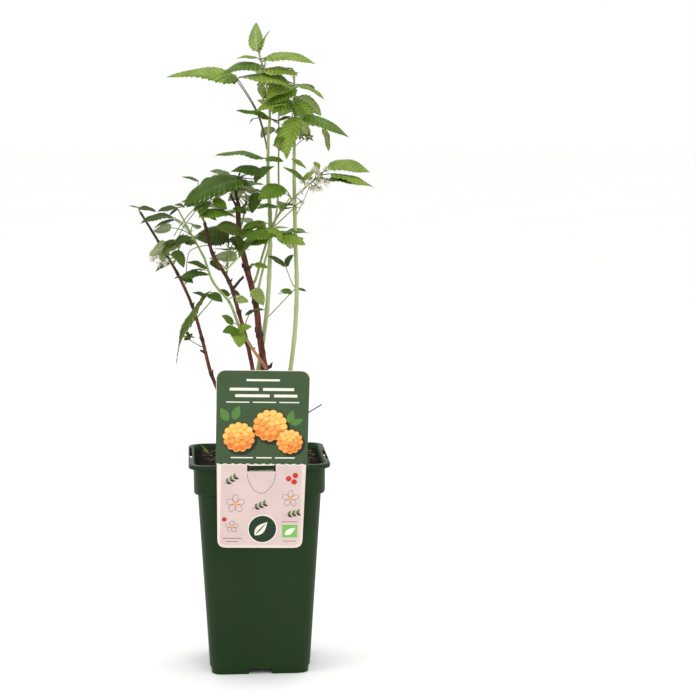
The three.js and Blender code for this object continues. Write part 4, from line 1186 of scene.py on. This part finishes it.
        "cane": "cane_crossing", "height": 347, "heading": 330, "step": 5,
        "leans": [60], "girth": [1.1, 0.9], "tones": ["pale"],
        "leaves": [(1, 0, -25, 4, 13, -15, 42, 1, -21, 0.8)],
    },
    "leaves_middle_left_small": {
        "cane": "cane_middle_left", "height": 352, "heading": 90, "step": 4,
        "leans": [65], "girth": [1.1, 0.9], "tones": ["dull", "old"],
        "leaves": [(1, 180, -42, 5, 12, 31, -52, 1, 25, 0.65), (1, 360, -16, 1, 9, -29, 54, 1, 34, 0.7)],
    },
    "leaves_right_middle": {
        "cane": "cane_right", "height": 358, "heading": 185, "step": 20,
        "leans": [22], "girth": [1.1, 0.9], "tones": ["fresh", "dull"],
        "leaves": [(1, 198, 28, 1, 20, 28, -36, 1), (1, 329, 51, 1, 14, 51, 58, 1, 0, 0.7)],
    },
    "leaves_tall_low": {
        "cane": "cane_tall", "height": 330, "heading": 15, "step": 28,
        "leans": [46], "girth": [1.1, 0.9], "tones": ["fresh", "dull"],
        "leaves": [
            (1, 360, 63, 3, 13, 2, -36, 1, -155, 0.75), (1, 360, 42, 7, 13, -9, 18, 1, -26),
            (1, 180, 30, 2, 11, -5, -10, 1, -12),
        ],
    },
    "leaves_back_middle": {
        "cane": "cane_middle", "height": 412, "heading": 75, "step": 20,
        "leans": [50, 35], "girth": [2.2, 1.4], "tones": ["dull", "old"],
        "leaves": [
            (0.6, 55, 20, 12, 28, -8, 0, 1), (1, 110, 20, 10, 34, -10, 0, 3), (1, 75, 0, 8, 26, -25, 0, 1),
            (0.5, 120, 10, 10, 26, -15, 0, 3), (0.3, 75, 5, 8, 24, -20, 0, 1),
        ],
    },
    "leaves_back_right": {
        "cane": "cane_right", "height": 392, "heading": 98, "step": 18,
        "leans": [72, 66], "girth": [2, 1.3], "tones": ["fresh", "dull"],
        "leaves": [
            (0.7, 70, 5, 10, 26, -14, 0, 1), (1, 100, 5, 10, 30, -16, 0, 3),
            (1, 78, -10, 8, 24, -26, 0, 1), (0.4, 90, 5, 8, 24, -20, 0, 1),
        ],
    },
}
print("masses:", len(MASSES), "leaves:", sum(len(mass["leaves"]) for mass in MASSES.values()))

# %% [markdown]
# ## The finest growth
# The solids leave out the finest growth. These rows carry it on inside the same reach: small leaves
# among the large ones, more flowers, and thin leaf stalks and flower stalks between the canes. A fine
# stalk's row is its place along what carries it, a heading, a step, its leans, its width and its
# finish.

# %% The finest leaves, flowers and stalks
FINE_LEAVES = {
    "leaves_right_top": [
        (0.85, 252, 23, 5, 37, -33, -26, 1, -47, 0.75), (0.7, 277, 13, 3, 29, -51, 28, 1, 62, 0.75),
        (0.85, 131, -13, 8, 12, 21, -32, 1, 25), (0.6, 110, 35, 16, 26, -25, 20, 3),
        (0.42, 55, 30, 14, 20, -40, -20, 1), (0.92, 95, 50, 8, 20, 5, 15, 1),
    ],
    "leaves_tall_top": [
        (0.85, 278, -10, 4, 28, -27, 22, 1, 70), (0.64, 96, 40, 14, 22, -30, 10, 1),
        (0.86, 70, 50, 10, 22, 10, -20, 1),
    ],
    "leaves_back_top": [(0.65, 230, -9, 3, 9, 33, 60, 1, 113), (0.6, 120, 30, 14, 22, -30, 15, 1)],
    "leaves_middle_left_top": [
        (0.7, 315, 26, 17, 22, -21, -30, 1, -120), (0.5, 352, 36, 19, 16, -41, -64, 1, -8, 0.7),
        (0.5, 290, 7, 4, 20, -29, 26, 1, 59), (0.4, 85, 30, 16, 26, -20, 10, 3),
        (0.7, 60, 45, 10, 22, -5, -20, 1),
    ],
    "leaves_flowering": [
        (0.3, 194, 19, 26, 25, 36, 32, 1, 153, 0.7), (0.3, 272, 29, 7, 22, -13, -26, 1, -77),
        (0.35, 80, 30, 16, 24, -15, -10, 3), (0.6, 95, 45, 10, 20, -25, 15, 1),
    ],
    "leaves_left_rosette": [
        (0.7, 202, 20, 6, 18, -42, -24, 1, -3), (0.85, 246, 15, 3, 15, -25, 36, 1, 99),
        (0.5, 90, 35, 12, 20, -15, 15, 1),
    ],
    "leaves_middle_left": [
        (1.0, 307, 33, 25, 15, 64, -76, 1, -97, 0.7), (1.0, 309, 34, 26, 16, 34, 50, 1, 36, 0.7),
        (1.0, 304, 34, 24, 13, 39, -46, 1, -105, 0.7), (1.0, 311, 33, 26, 11, -61, -14, 1, -93, 0.7),
        (1.0, 316, 47, 35, 12, 44, 54, 1, 22, 0.7), (0.6, 95, 35, 16, 24, -20, 12, 1),
    ],
    "leaves_middle_crown": [(0.5, 110, 35, 18, 26, -20, 20, 3), (0.3, 60, 20, 16, 24, -25, -15, 3)],
    "leaves_back_middle": [(0.5, 60, 40, 14, 22, -5, -25, 3), (0.8, 130, 45, 10, 20, -20, 20, 1)],
    "leaves_crossing_top": [(0.5, 80, 30, 14, 24, -15, 15, 1), (0.3, 100, 25, 12, 22, -30, -10, 1)],
    "leaves_left_middle": [(0.6, 80, 30, 16, 22, -20, -12, 1)],
}
FINE_FLOWERS = {
    "leaves_flowering": [
        (1, 250, 10, 4, 7), (0.99, 170, 45, 6, 7), (0.96, 300, -25, 5, 7), (0.94, 210, 20, 5, 6),
        (0.9, 280, -35, 7, 7), (0.88, 200, 35, 6, 6), (1, 320, -45, 8, 7), (0.97, 240, -60, 9, 7),
    ],
    "leaves_left_rosette": [(0.2, 200, -20, 16, 7), (0.25, 188, 6, 22, 6), (0.3, 220, -30, 14, 6)],
}
FINE_STEMS = {
    "leaves_middle_left_top": [
        (0.66, 12, 11, (-137, -141, -148), 1.1, 0), (0.56, -14, 10, (-141, -143, -150), 1.0, 0),
    ],
    "cane_middle_left": [
        (0.91, 8, 10, (-97, -114, -163, -175), 0.9, 1), (0.79, -10, 13, (44, 42, 40), 1.5, 2),
        (0.8, 10, 9, (32, 15, -22), 1.1, 0), (0.69, 0, 2, (75, 74, 74), 1.2, 1),
    ],
    "leaves_crossing_top": [(0.39, 14, 9, (-39, -47, -55), 0.9, 1)],
    "cane_tall": [(0.84, -16, 11, (33, 34, 37), 1.3, 2), (0.83, -24, 14, (49, 48, 46), 1.2, 0)],
    "cane_right": [(0.87, -20, 11, (28, 26, 23), 0.8, 0), (0.93, 12, 8, (-52, -56, -62), 1.1, 2)],
}
print("fine leaves:", sum(map(len, FINE_LEAVES.values())), "fine stalks:", sum(map(len, FINE_STEMS.values())))

# %% [markdown]
# ## One leaflet
# The grid of a leaflet follows its veins, so that its teeth, its folds and its veins agree with one
# another. Its rows slant forward from the middle vein to the margin, four for each side vein, which
# gives a large and a small tooth. Its columns stand closer together at the middle and at the margin,
# where more happens. This needs sums on every corner, and that is why the blades aren't modelled by
# hand.


# %% Planes for the blades
def turned_about(way, axis, angle):
    """A direction turned about an axis by degrees."""
    angle = math.radians(angle)
    return (way * math.cos(angle) + np.cross(axis, way) * math.sin(angle)
            + axis * np.dot(axis, way) * (1 - math.cos(angle)))


def leaf_plane(heading, rise, roll):
    """Which way a leaf points, its right-hand side and its upper face."""
    ahead = heading_vector(heading, rise)
    level = np.array((math.sin(math.radians(heading)), -math.cos(math.radians(heading)), 0))
    side = turned_about(level, ahead, roll)
    return ahead, side, np.cross(side, ahead)


def turned_plane(plane, angle):
    """The plane of a side leaflet, turned in the leaf's own plane."""
    ahead = turned_about(plane[0], plane[2], angle)
    return ahead, np.cross(ahead, plane[2]), plane[2]


print("the right-hand side of a leaf that points along X:", leaf_plane(0, 0, 0)[1].round(2) + 0)

# %% Outline, folds and waves
SAW = (1.10, 0.83, 1.02, 0.87)
LATERAL = np.array((-1, -0.88, -0.7, -0.5, -0.3, -0.12, 0, 0.12, 0.3, 0.5, 0.7, 0.88, 1))
OUTWARD = np.abs(LATERAL)[None, :]
SLANT, NARROWEST = 0.46, 0.18
FURROW_DEPTH, FURROW_WIDTH = 0.006, 0.1


def vein_pairs(length):
    """How many pairs of side veins a leaflet has."""
    return int(round(min(max(5 + length / 8, 6), 12)))


def leaflet_outline(pairs, width):
    """How far along each corner is, half the blade's width there, and how far out it lies."""
    row = np.arange(len(SAW) * pairs + 1)
    start = 0.012 + 0.978 * (row / (len(SAW) * pairs)) ** 1.04
    share = 1 - (1 - start[:, None]) * (1 - SLANT * OUTWARD * np.sqrt(start[:, None]))
    half = np.maximum(width / 2 * np.sin(np.pi * np.minimum(share, 1) ** 0.62) ** 0.8, NARROWEST)
    tooth = np.array([SAW[i % len(SAW)] for i in row])[:, None]
    edge = 1 + (tooth - 1) * OUTWARD ** 5
    return row[:, None] / len(SAW), share, half, np.sign(LATERAL)[None, :] * OUTWARD * half * edge


def leaflet_lift(pairs, length, phase, share, half, habit):
    """How high each corner lies over the flat: a trough, pleats, a wavy margin and a furrow."""
    trough = habit["fold"] * OUTWARD * half - habit["cup"] * half * OUTWARD ** 2
    crest = 3.2 * OUTWARD ** 1.5 * (1 - OUTWARD) + 0.35 * OUTWARD ** 3
    pleat = -habit["pleat"] * length / pairs * np.cos(math.tau * phase) * crest
    waves = np.sin(math.tau * (1.6 * share + habit["start"]) + (LATERAL > 0) * 2)
    ruffle = habit["ruffle"] * length * waves * OUTWARD ** 2
    furrow = -FURROW_DEPTH * length * np.exp(-(OUTWARD / FURROW_WIDTH) ** 2)
    fade = np.sin(np.pi * np.clip(share, 0, 1)) ** 0.5
    return trough + (pleat + ruffle + furrow) * fade


print("a leaflet of 40 mm has", vein_pairs(40), "pairs of veins")


# %% Bending a leaflet and putting it in its place
def leaflet_grid(base, plane, length, width, arch, habit):
    """Corners of a leaflet's upper face in rows that follow its veins, its normals and its marks."""
    ahead, side, normal = plane
    pairs = vein_pairs(length)
    phase, share, half, out = leaflet_outline(pairs, width)
    lift = leaflet_lift(pairs, length, phase, share, half, habit)
    bend = math.radians(arch)
    if abs(bend) < 1e-3:
        bend = 1e-3
    angle = bend * (0.5 - share)
    forth = length * (math.sin(bend / 2) - np.sin(angle)) / bend
    rise = length * (np.cos(angle) - math.cos(bend / 2)) / bend
    twist = np.radians(habit["twist"]) * (share - 0.2)
    sideways = length * habit["sway"] * share ** 2 + out * np.cos(twist) - lift * np.sin(twist)
    upward = lift * np.cos(twist) + out * np.sin(twist)
    by = np.multiply.outer
    normals = by(-np.sin(angle), ahead) + by(np.cos(angle), normal)
    over = by(-np.sin(angle) * upward, ahead) + by(np.cos(angle) * upward, normal)
    places = base + (by(forth, ahead) + by(rise, normal) + by(sideways, side)) + over
    return places, normals, np.stack(np.broadcast_arrays(phase, OUTWARD), -1)


BLADE_THICKNESS = 0.16


def add_leaflet(bundle, base, plane, length, width, arch, habit):
    """Puts the upper and lower face of one leaflet into a bundle. They meet at the margin."""
    places, normals, marks = leaflet_grid(base, plane, length, width, arch, habit)
    rows, columns = places.shape[:2]
    middle, last = columns // 2, (rows - 1) * columns
    upper = [(a, a + 1, a + 1 + columns, a + columns)
             for start in range(0, last, columns) for a in range(start, start + columns - 1)]
    upper += [(last + j, last + j + 1, rows * columns) for j in range(columns - 1)]
    lower = [face[::-1] for face in upper]
    tip = places[-1, middle] + (places[-1, middle] - places[-2, middle]) * 0.6
    corner_marks = [tuple(mark) for mark in marks.reshape(-1, 2)] + [tuple(marks[-1, middle])]
    inner = (1 - np.abs(LATERAL) ** 6)[None, :, None]
    for side, faces, shift in ((0, upper, 0.0), (1, lower, -BLADE_THICKNESS)):
        corners = (places + normals * inner * shift).reshape(-1, 3)
        bundle.add(list(corners) + [tip], faces, side, corner_marks)


print("a leaflet is", BLADE_THICKNESS, "mm thick in the middle")

# %% [markdown]
# ## Leaf finishes
# Both faces of a blade draw their veins from the same two marks: every whole number along is a side
# vein, and zero across is the middle vein. Above, the veins are fine and only a little paler, and the
# furrows beside them are darkened with painted shade. Below, they are broad and pale, and the furrows
# get a little painted shade. One pair of finishes is made for every tone in the crown.


# %% Veins as a shader group
def vein_group():
    """Masks for veins and for painted shade in the furrows, and the height of the veins, from a blade's
    marks.
    """
    masks = dict.fromkeys(("Vein", "Furrow_shade", "Height"), "value")
    tree, given, made = shader_group("veins", {"Width": "value", "Middle": "value"}, masks)
    wire = tree.links.new

    def reckon(operation, *values):
        """The result of a sum, whose values are numbers or other results."""
        node = add_node(tree, "Math", operation=operation)
        for i, value in enumerate(values):
            if isinstance(value, (int, float)):
                node.inputs[i].default_value = value
            else:
                wire(value, node.inputs[i])
        return node.outputs[0]

    def nearness(distance, reach):
        """One at a line, and zero from its reach on."""
        return reckon("SUBTRACT", 1.0, reckon("MINIMUM", reckon("DIVIDE", distance, reach), 1.0))

    along = add_node(tree, "Attribute", attribute_name="along").outputs["Fac"]
    across = add_node(tree, "Attribute", attribute_name="across").outputs["Fac"]
    width = given.outputs["Width"]
    beside = reckon("ABSOLUTE", reckon("SUBTRACT", reckon("FRACT", reckon("ADD", along, 0.5)), 0.5))
    line = nearness(beside, reckon("MULTIPLY", width, reckon("SUBTRACT", 1.25, across)))
    fading = reckon("MINIMUM", reckon("MULTIPLY", reckon("SUBTRACT", 1.1, across), 1.6), 1.0)
    side_vein = reckon("MULTIPLY", line, fading)
    middle = nearness(across, reckon("MULTIPLY", width, 0.5))
    pale_middle = reckon("MULTIPLY", middle, given.outputs["Middle"])
    # Painted shade: this mask is one at each side vein and fades out a third of the way to the next, to
    # darken the furrows.
    furrow = reckon("SUBTRACT", 1.0, reckon("MINIMUM", reckon("MULTIPLY", beside, 3.2), 1.0))
    wire(reckon("MAXIMUM", side_vein, pale_middle), made.inputs["Vein"])
    wire(furrow, made.inputs["Furrow_shade"])
    wire(reckon("MAXIMUM", side_vein, middle), made.inputs["Height"])
    return tree


VEINS = vein_group()
print("shader group:", VEINS.name)

# %% A maker of leaf finishes
RIB_HEIGHT = 0.0005
# The furrow share is how strongly painted shade darkens the furrows of each face.
ABOVE = {"width": 0.15, "vein": 0.4, "middle": 0.3, "furrow": 0.7, "rib": -0.7, "roughness": 0.5}
BELOW = {"width": 0.24, "vein": 0.8, "middle": 1.0, "furrow": 0.3, "rib": 0.8, "roughness": 0.75}


def leaf_finish(name, blade, vein, furrow, look):
    """A leaf face: mottled blade, painted shade in the furrows, paler veins, and ribs that stand out or lie
    in.
    """
    material = finish(name, blade, shaded(blade, 0.72), 90, look["roughness"], 0.35, 700, speckle=0.25,
                      Specular_IOR_Level=0.2)
    tree = material.node_tree
    shader = tree.nodes["Principled BSDF"]
    source, result = shader.inputs["Base Color"].links[0].from_node, "Colour"
    grain_bump = shader.inputs["Normal"].links[0].from_node
    veins = add_node(tree, "Group", {"Width": look["width"], "Middle": look["middle"]}, node_tree=VEINS)
    # The furrow colour is painted shade laid over the blade, and the pale vein colour goes on top of it.
    for colour, share, mask in ((furrow, look["furrow"], "Furrow_shade"), (vein, look["vein"], "Vein")):
        amount = add_node(tree, "Math", {1: share}, operation="MULTIPLY")
        mix = add_node(tree, "Mix", {"B": colour}, data_type="RGBA")
        connect(tree, (veins, mask, amount, 0), (amount, 0, mix, "Factor"), (source, result, mix, "A"))
        source, result = mix, "Result"
    rib = {"Strength": abs(look["rib"]), "Distance": RIB_HEIGHT}
    ribs = add_node(tree, "Bump", rib, invert=look["rib"] < 0)
    connect(tree, (source, result, shader, "Base Color"), (veins, "Height", ribs, "Height"),
            (grain_bump, "Normal", ribs, "Normal"), (ribs, "Normal", shader, "Normal"))
    return material


# %% The tones of the crown
# The bright tone is partly painted light: its light green stands in for sheen and for the light that shines
# through thin leaves, which these opaque blades don't pass.
TONES = {
    "bright_lit": ((132, 160, 54), (166, 184, 100)), "fresh": ((90, 126, 22), (150, 170, 86)),
    "deep": ((64, 96, 16), (158, 174, 112)), "dull": ((82, 104, 34), (150, 164, 110)),
    "old": ((64, 82, 22), (140, 154, 104)), "pale": ((150, 170, 92), (160, 178, 112)),
}
SUNLIT, WHITE = (210, 224, 140), (255, 255, 255)


def towards(colour, goal, share):
    """A colour moved a share of the way to another one."""
    return paint(*(c + (end - c) * share for c, end in zip(colour, goal)))


def darker(colour, share):
    """A colour with a share of each of its steps."""
    return paint(*(c * share for c in colour))


BLADE_FINISHES = {}
for tone, (top, under) in TONES.items():
    BLADE_FINISHES[tone] = [
        # Each face's third colour, a darker copy of its blade, is the painted shade of its furrows.
        leaf_finish(tone + "_blade", paint(*top), towards(top, SUNLIT, 0.3), darker(top, 0.58), ABOVE),
        leaf_finish(tone + "_underside", paint(*under), towards(under, WHITE, 0.4), darker(under, 0.88),
                    BELOW),
    ]
STALK_GREEN = finish("stalk_green", paint(138, 156, 74), paint(108, 128, 56), 150, 0.5, 0.2, 700)
STALK_DARK = finish("stalk_dark", paint(104, 106, 60), paint(78, 70, 44), 150, 0.55, 0.2, 700)
STALK_PALE = finish("stalk_pale", paint(186, 196, 118), paint(170, 180, 100), 150, 0.5, 0.2, 700)
print("leaf tones:", ", ".join(TONES))

# %% [markdown]
# ## Growing a leaf
# The stalk of a leaf climbs from the stem, and a long one bends on its way. The blade hangs from its
# end by the pitch, roll and turn of its row. No two leaves are alike: how much each one arches, folds,
# cups and waves strays about what is usual. Two narrow spikes, the stipules, stand at the foot of a
# larger leaf.


# %% Chance, and the habit of a leaflet
def scatter(seed):
    """A repeatable stream of numbers between -1 and 1, the same one that the solids use."""
    state = [seed * 7919 + 17]

    def draw():
        state[0] = state[0] * 16807 % 2147483647
        return 2 * state[0] / 2147483647 - 1
    return draw


HABIT = {
    "fold": (0.16, 0.10), "cup": (0.22, 0.12), "pleat": (0.13, 0.035), "ruffle": (0.020, 0.010),
    "start": (0, 1), "twist": (0, 14), "sway": (0, 0.03),
}


def leaf_habit(draws):
    """How one leaflet departs from the plain blade: the usual amount of each kind, and some more or less."""
    return {kind: usual + stray * float(draws.uniform(-1, 1)) for kind, (usual, stray) in HABIT.items()}


print("habits:", ", ".join(HABIT))

# %% Blades and stipules
USUAL_LENGTH, USUAL_ARCH, ARCH_PER_LENGTH = 30, 34, 0.4
STRAY = {"width": 0.08, "spread": 6, "length": 0.06, "arch": 12}
SUNK = 0.9


def along_route(places, share):
    """The place at a share of the way along a route."""
    reach = share * (len(places) - 1)
    before = min(int(reach), len(places) - 2)
    return places[before] + (places[before + 1] - places[before]) * (reach - before)


def add_blade(bundle, start, plane, length, wide, wobble, draws):
    """A leaflet of a given length, as wide and as arched as chance has it."""
    width = length * wide * (1 + STRAY["width"] * wobble())
    arch = USUAL_ARCH + ARCH_PER_LENGTH * (length - USUAL_LENGTH) + STRAY["arch"] * wobble()
    add_leaflet(bundle, start - SUNK * plane[0], plane, length, width, arch, leaf_habit(draws))


def add_stipules(bundle, root, way, side, finish_index):
    """Two narrow spikes at the foot of a leaf stalk."""
    for hand in (-1, 1):
        spike = root + way * 2 + side * hand * 0.5
        line = [spike, spike + way * 2.5 + side * hand * 1.6, spike + way * 5 + side * hand * 2.6]
        tube(bundle, line, [0.3, 0.22, 0.05], 4, finish_index)


print("a blade of", USUAL_LENGTH, "mm arches by", USUAL_ARCH, "degrees")

# %% One leaf
LEAFLET_SPREAD, SIDE_LEAFLET, STALK_SHARE = 68, 0.82, 0.16
PETIOLE_BENDS, LONG_PETIOLE = (8, -8), 15


def grow_leaf(leaf, stem, blades, stalks, stalk_finish, wobble, draws):
    """One leaf with its stalk and one or three leaflets."""
    route = [along_route(stem, leaf.share)]
    bends = PETIOLE_BENDS if leaf.petiole > LONG_PETIOLE else (0,)
    for bend in bends:
        route.append(climb(route[-1], leaf.heading, leaf.petiole / len(bends), [90 - leaf.rise - bend])[1])
    plane = leaf_plane(leaf.heading + leaf.turn, leaf.pitch, leaf.roll)
    fork, threefold = route[-1], leaf.leaflets > 1
    end = fork + plane[0] * (STALK_SHARE * leaf.blade if threefold else 0)
    route.append(end if threefold else end + plane[0] * 1.2)
    line = smoothed(route, 1.0)
    foot, tip = (1.3, 0.9) if leaf.blade > 25 else (1.1, 0.8)
    radii = np.interp(np.linspace(0, 1, len(line)), (0, 0.08, 1), (foot * 0.75, foot / 2, tip / 2))
    tube(stalks, line, radii, 7, stalk_finish)
    main_length = leaf.blade * (1 - STALK_SHARE if threefold else 1)
    add_blade(blades, end, plane, main_length, leaf.wide, wobble, draws)
    if threefold:
        for hand in (-1, 1):
            side_plane = turned_plane(plane, hand * (LEAFLET_SPREAD + STRAY["spread"] * wobble()))
            length = leaf.blade * SIDE_LEAFLET * (1 + STRAY["length"] * wobble())
            add_blade(blades, fork, side_plane, length, leaf.wide, wobble, draws)
    if leaf.blade > 16 and leaf.petiole > 4:
        add_stipules(stalks, route[0], unit(route[1] - route[0]), plane[1], stalk_finish)


print("a leaf of three has its side leaflets", LEAFLET_SPREAD, "degrees from the middle one")

# %% The stems of the masses
def stem_start(mass):
    """Where the stem of a mass starts, and a point inside its cane that it comes from."""
    cane = limbs[mass["cane"]]
    if "height" in mass:
        return side_start(mass), cane_at(cane, mass["height"])[0]
    before, top = cane["places"][-2:]
    rising = unit(top - before)
    return top + rising * (GAP + 0.12 * mass["girth"][0]), top - rising * 1.5


stems, roots = {}, {}
for name, mass in MASSES.items():
    start, roots[name] = stem_start(mass)
    stems[name] = climb(start, mass["heading"], mass["step"], mass["leans"])
print("stems:", len(stems))

# %% The crown
STALK_FINISHES = [STALK_GREEN, STALK_DARK, GREEN_BARK, KNOT_BARK]
GREEN_STALK, DARK_STALK, BARKED, WOODY = range(len(STALK_FINISHES))
DARK_STALKS = ("leaves_tall_top", "leaves_back_top", "leaves_middle_crown")
WOODY_STEMS = ("leaves_middle_crown",)
STOUT_STEM, FIRST_TONE_SHARE = 3, 0.6
for index, (name, mass) in enumerate(MASSES.items(), start=1):
    wobble, draws = scatter(index), np.random.default_rng(900 + index)
    tones, stem, stalks = mass["tones"], stems[name], Bundle()
    line = smoothed([roots[name]] + stem, FINE_RINGS)
    radii = np.interp(np.linspace(0, 1, len(line)), (0, 1), [girth / 2 for girth in mass["girth"]])
    stem_finish = WOODY if name in WOODY_STEMS else BARKED if mass["girth"][0] > STOUT_STEM else GREEN_STALK
    tube(stalks, line, radii, 10, stem_finish, ages=np.linspace(0.9, 1, len(line)), pointed=True)
    stalk_finish = DARK_STALK if name in DARK_STALKS else GREEN_STALK
    blades = [Bundle() for _ in tones]
    for row in mass["leaves"] + FINE_LEAVES.get(name, []):
        tone = 0 if len(tones) == 1 or draws.random() < FIRST_TONE_SHARE else 1
        grow_leaf(Leaf(*row), stem, blades[tone], stalks, stalk_finish, wobble, draws)
    foliage = Bundle()
    for i, bundle in enumerate(blades):
        foliage.add(bundle.corners, bundle.faces, [2 * i + side for side in bundle.finishes], bundle.marks)
    blade_finishes = [material for tone in tones for material in BLADE_FINISHES[tone]]
    foliage.piece(name + "_blades", blade_finishes, [name], "foliage", smooth_below=180)
    stalks.piece(name + "_stalks", STALK_FINISHES, (), "foliage", smooth_below=60)

# %% [markdown]
# ## Fine stalks and a seedling
# Bare leaf stalks and flower stalks of some tenths of a millimetre cross the gaps between the canes.
# On the compost a seedling has come up with its first two leaves.

# %% Fine stalks between the canes
fine_stalks = Bundle()
for name, rows in FINE_STEMS.items():
    carrier = limbs[name]["places"] if name in limbs else stems[name]
    for share, heading, step, leans, width, finish_index in rows:
        line = smoothed(climb(along_route(carrier, share), heading, step, leans), FINE_RINGS)
        tube(fine_stalks, line, np.linspace(width / 2, 0.4 * width, len(line)), 7, finish_index, pointed=True)
fine_stalks.piece("fine_stalks", [STALK_GREEN, STALK_DARK, STALK_PALE], (), "foliage", smooth_below=60)

# %% The seedling
SPROUT_FOOT, SPROUT_WIDTH, SPROUT_ARCH = np.array((-45.0, 26.0, 194.5)), 0.62, 30
draws = np.random.default_rng(90)
sprout = Bundle()
for heading, pitch, long in [(200, 50, 12), (320, 30, 9)]:
    base = SPROUT_FOOT + 2 * heading_vector(heading, 60)
    plane = leaf_plane(heading, pitch, 10)
    add_leaflet(sprout, base, plane, long, SPROUT_WIDTH * long, SPROUT_ARCH, leaf_habit(draws))
sprout.piece("sprout_blades", BLADE_FINISHES["bright_lit"], (), "foliage", smooth_below=180)

# %% [markdown]
# ## Flowers and young fruit
# A raspberry flower has five pointed green sepals that stay on under the fruit, a ring of narrow white
# petals that soon drop, and a dense cream tuft of stamens around a green cone. Every flower is the
# same shape in another size and direction, so one small form is worked out and copied into the joined
# pieces, sepals apart from tufts. Those on the right are still green stars with few stamens.

# %% Sepals and stamens
SEPAL_GREEN = finish("sepal_green", paint(96, 120, 44), paint(60, 84, 26), 300, 0.7, 0.3, 900)
SEPAL_DRY = finish("sepal_dry", paint(164, 168, 124), paint(116, 124, 82), 300, 0.75, 0.3, 900)
STAMEN_CREAM = finish("stamen_cream", paint(236, 232, 216), paint(206, 200, 176), 500, 0.8, 0.3, 900)
sepals, tufts, flower_stalks = Bundle(), Bundle(), Bundle()
SEPAL_OUTLINE = ((0.0, 0.16), (0.3, 0.24), (0.65, 0.15), (1.0, 0.01))
SEPAL_KEEL, SEPAL_THICKNESS = 0.06, 0.12
ANTHER = 0.42
BALL = ((1, 0, 0), (-1, 0, 0), (0, 1, 0), (0, -1, 0), (0, 0, 1), (0, 0, -1))
BALL_FACES = [(0, 2, 4), (2, 1, 4), (1, 3, 4), (3, 0, 4), (2, 0, 5), (1, 2, 5), (3, 1, 5), (0, 3, 5)]


def add_sepal(head, way, out, reach, back, finish_index):
    """A pointed sepal with a keel, its tip bent back or forth."""
    flat = np.cross(way, out)
    corners = []
    for t, share in SEPAL_OUTLINE:
        middle, half = head + out * reach * t + way * back * reach * t * t, reach * share
        keel = middle - way * SEPAL_KEEL * reach * (1 - t)
        corners += [middle + flat * half, keel, middle - flat * half]
    faces = [(a, a + 1, a + 4, a + 3) for row in (0, 3, 6) for a in (row, row + 1)]
    count = len(corners)
    corners += [corner + way * SEPAL_THICKNESS for corner in corners]
    faces += [tuple(count + i for i in reversed(face)) for face in faces]
    sepals.add(corners, faces, finish_index)


def add_stamen(head, way, side, up, size, green):
    """A thread with a small ball at its end."""
    out = unit(side * chance.uniform(-1, 1) + up * chance.uniform(-1, 1) + way * chance.uniform(0.3, 1.4))
    tip = head + out * (size * (0.25 if green else chance.uniform(0.4, 0.72)))
    tube(tufts, [head, tip], [0.12, 0.09], 4)
    tufts.add([tip + np.array(corner) * ANTHER for corner in BALL], BALL_FACES)


print("corners of a sepal:", 2 * 3 * len(SEPAL_OUTLINE))

# %% Flowers
GREEN_STARS = ("leaves_right_top",)
TO_THE_LIGHT = np.array((0, -1.3, 0.1))


def add_flower(root, heading, rise, stalk, size, green):
    """A flower on its stalk: five sepals and a tuft of stamens."""
    way = heading_vector(heading, rise)
    head = root + way * stalk
    line = smoothed([root, (root + head) / 2 + np.array((0, 0, 0.08 * stalk)), head], FINE_RINGS)
    tube(flower_stalks, line, np.linspace(0.4, 0.45, len(line)), 6)
    way = unit(way + TO_THE_LIGHT if green else way)
    side = unit(np.cross(way, (0.2, 0.1, 1.0)))
    up = np.cross(side, way)
    for petal in range(5):
        turn = math.tau * petal / 5 + chance.uniform(-0.2, 0.2)
        out = side * math.cos(turn) + up * math.sin(turn)
        reach, back = (0.85 if green else 0.6) * size, chance.uniform(-0.35, 0.25)
        add_sepal(head, way, out, reach, back, 0 if green else 1)
    for _ in range(12 if green else 34):
        add_stamen(head, way, side, up, size, green)


for index, (name, mass) in enumerate(MASSES.items()):
    chance = np.random.default_rng(700 + index)
    for share, heading, rise, stalk, size in mass.get("buds", []) + FINE_FLOWERS.get(name, []):
        add_flower(along_route(stems[name], share), heading, rise, stalk, size, name in GREEN_STARS)
sepals.piece("flower_sepals", [SEPAL_GREEN, SEPAL_DRY], (), "foliage", smooth_below=60)
tufts.piece("flower_stamens", [STAMEN_CREAM], (), "foliage", smooth_below=60)
flower_stalks.piece("flower_stalks", [STALK_GREEN], (), "foliage", smooth_below=60)
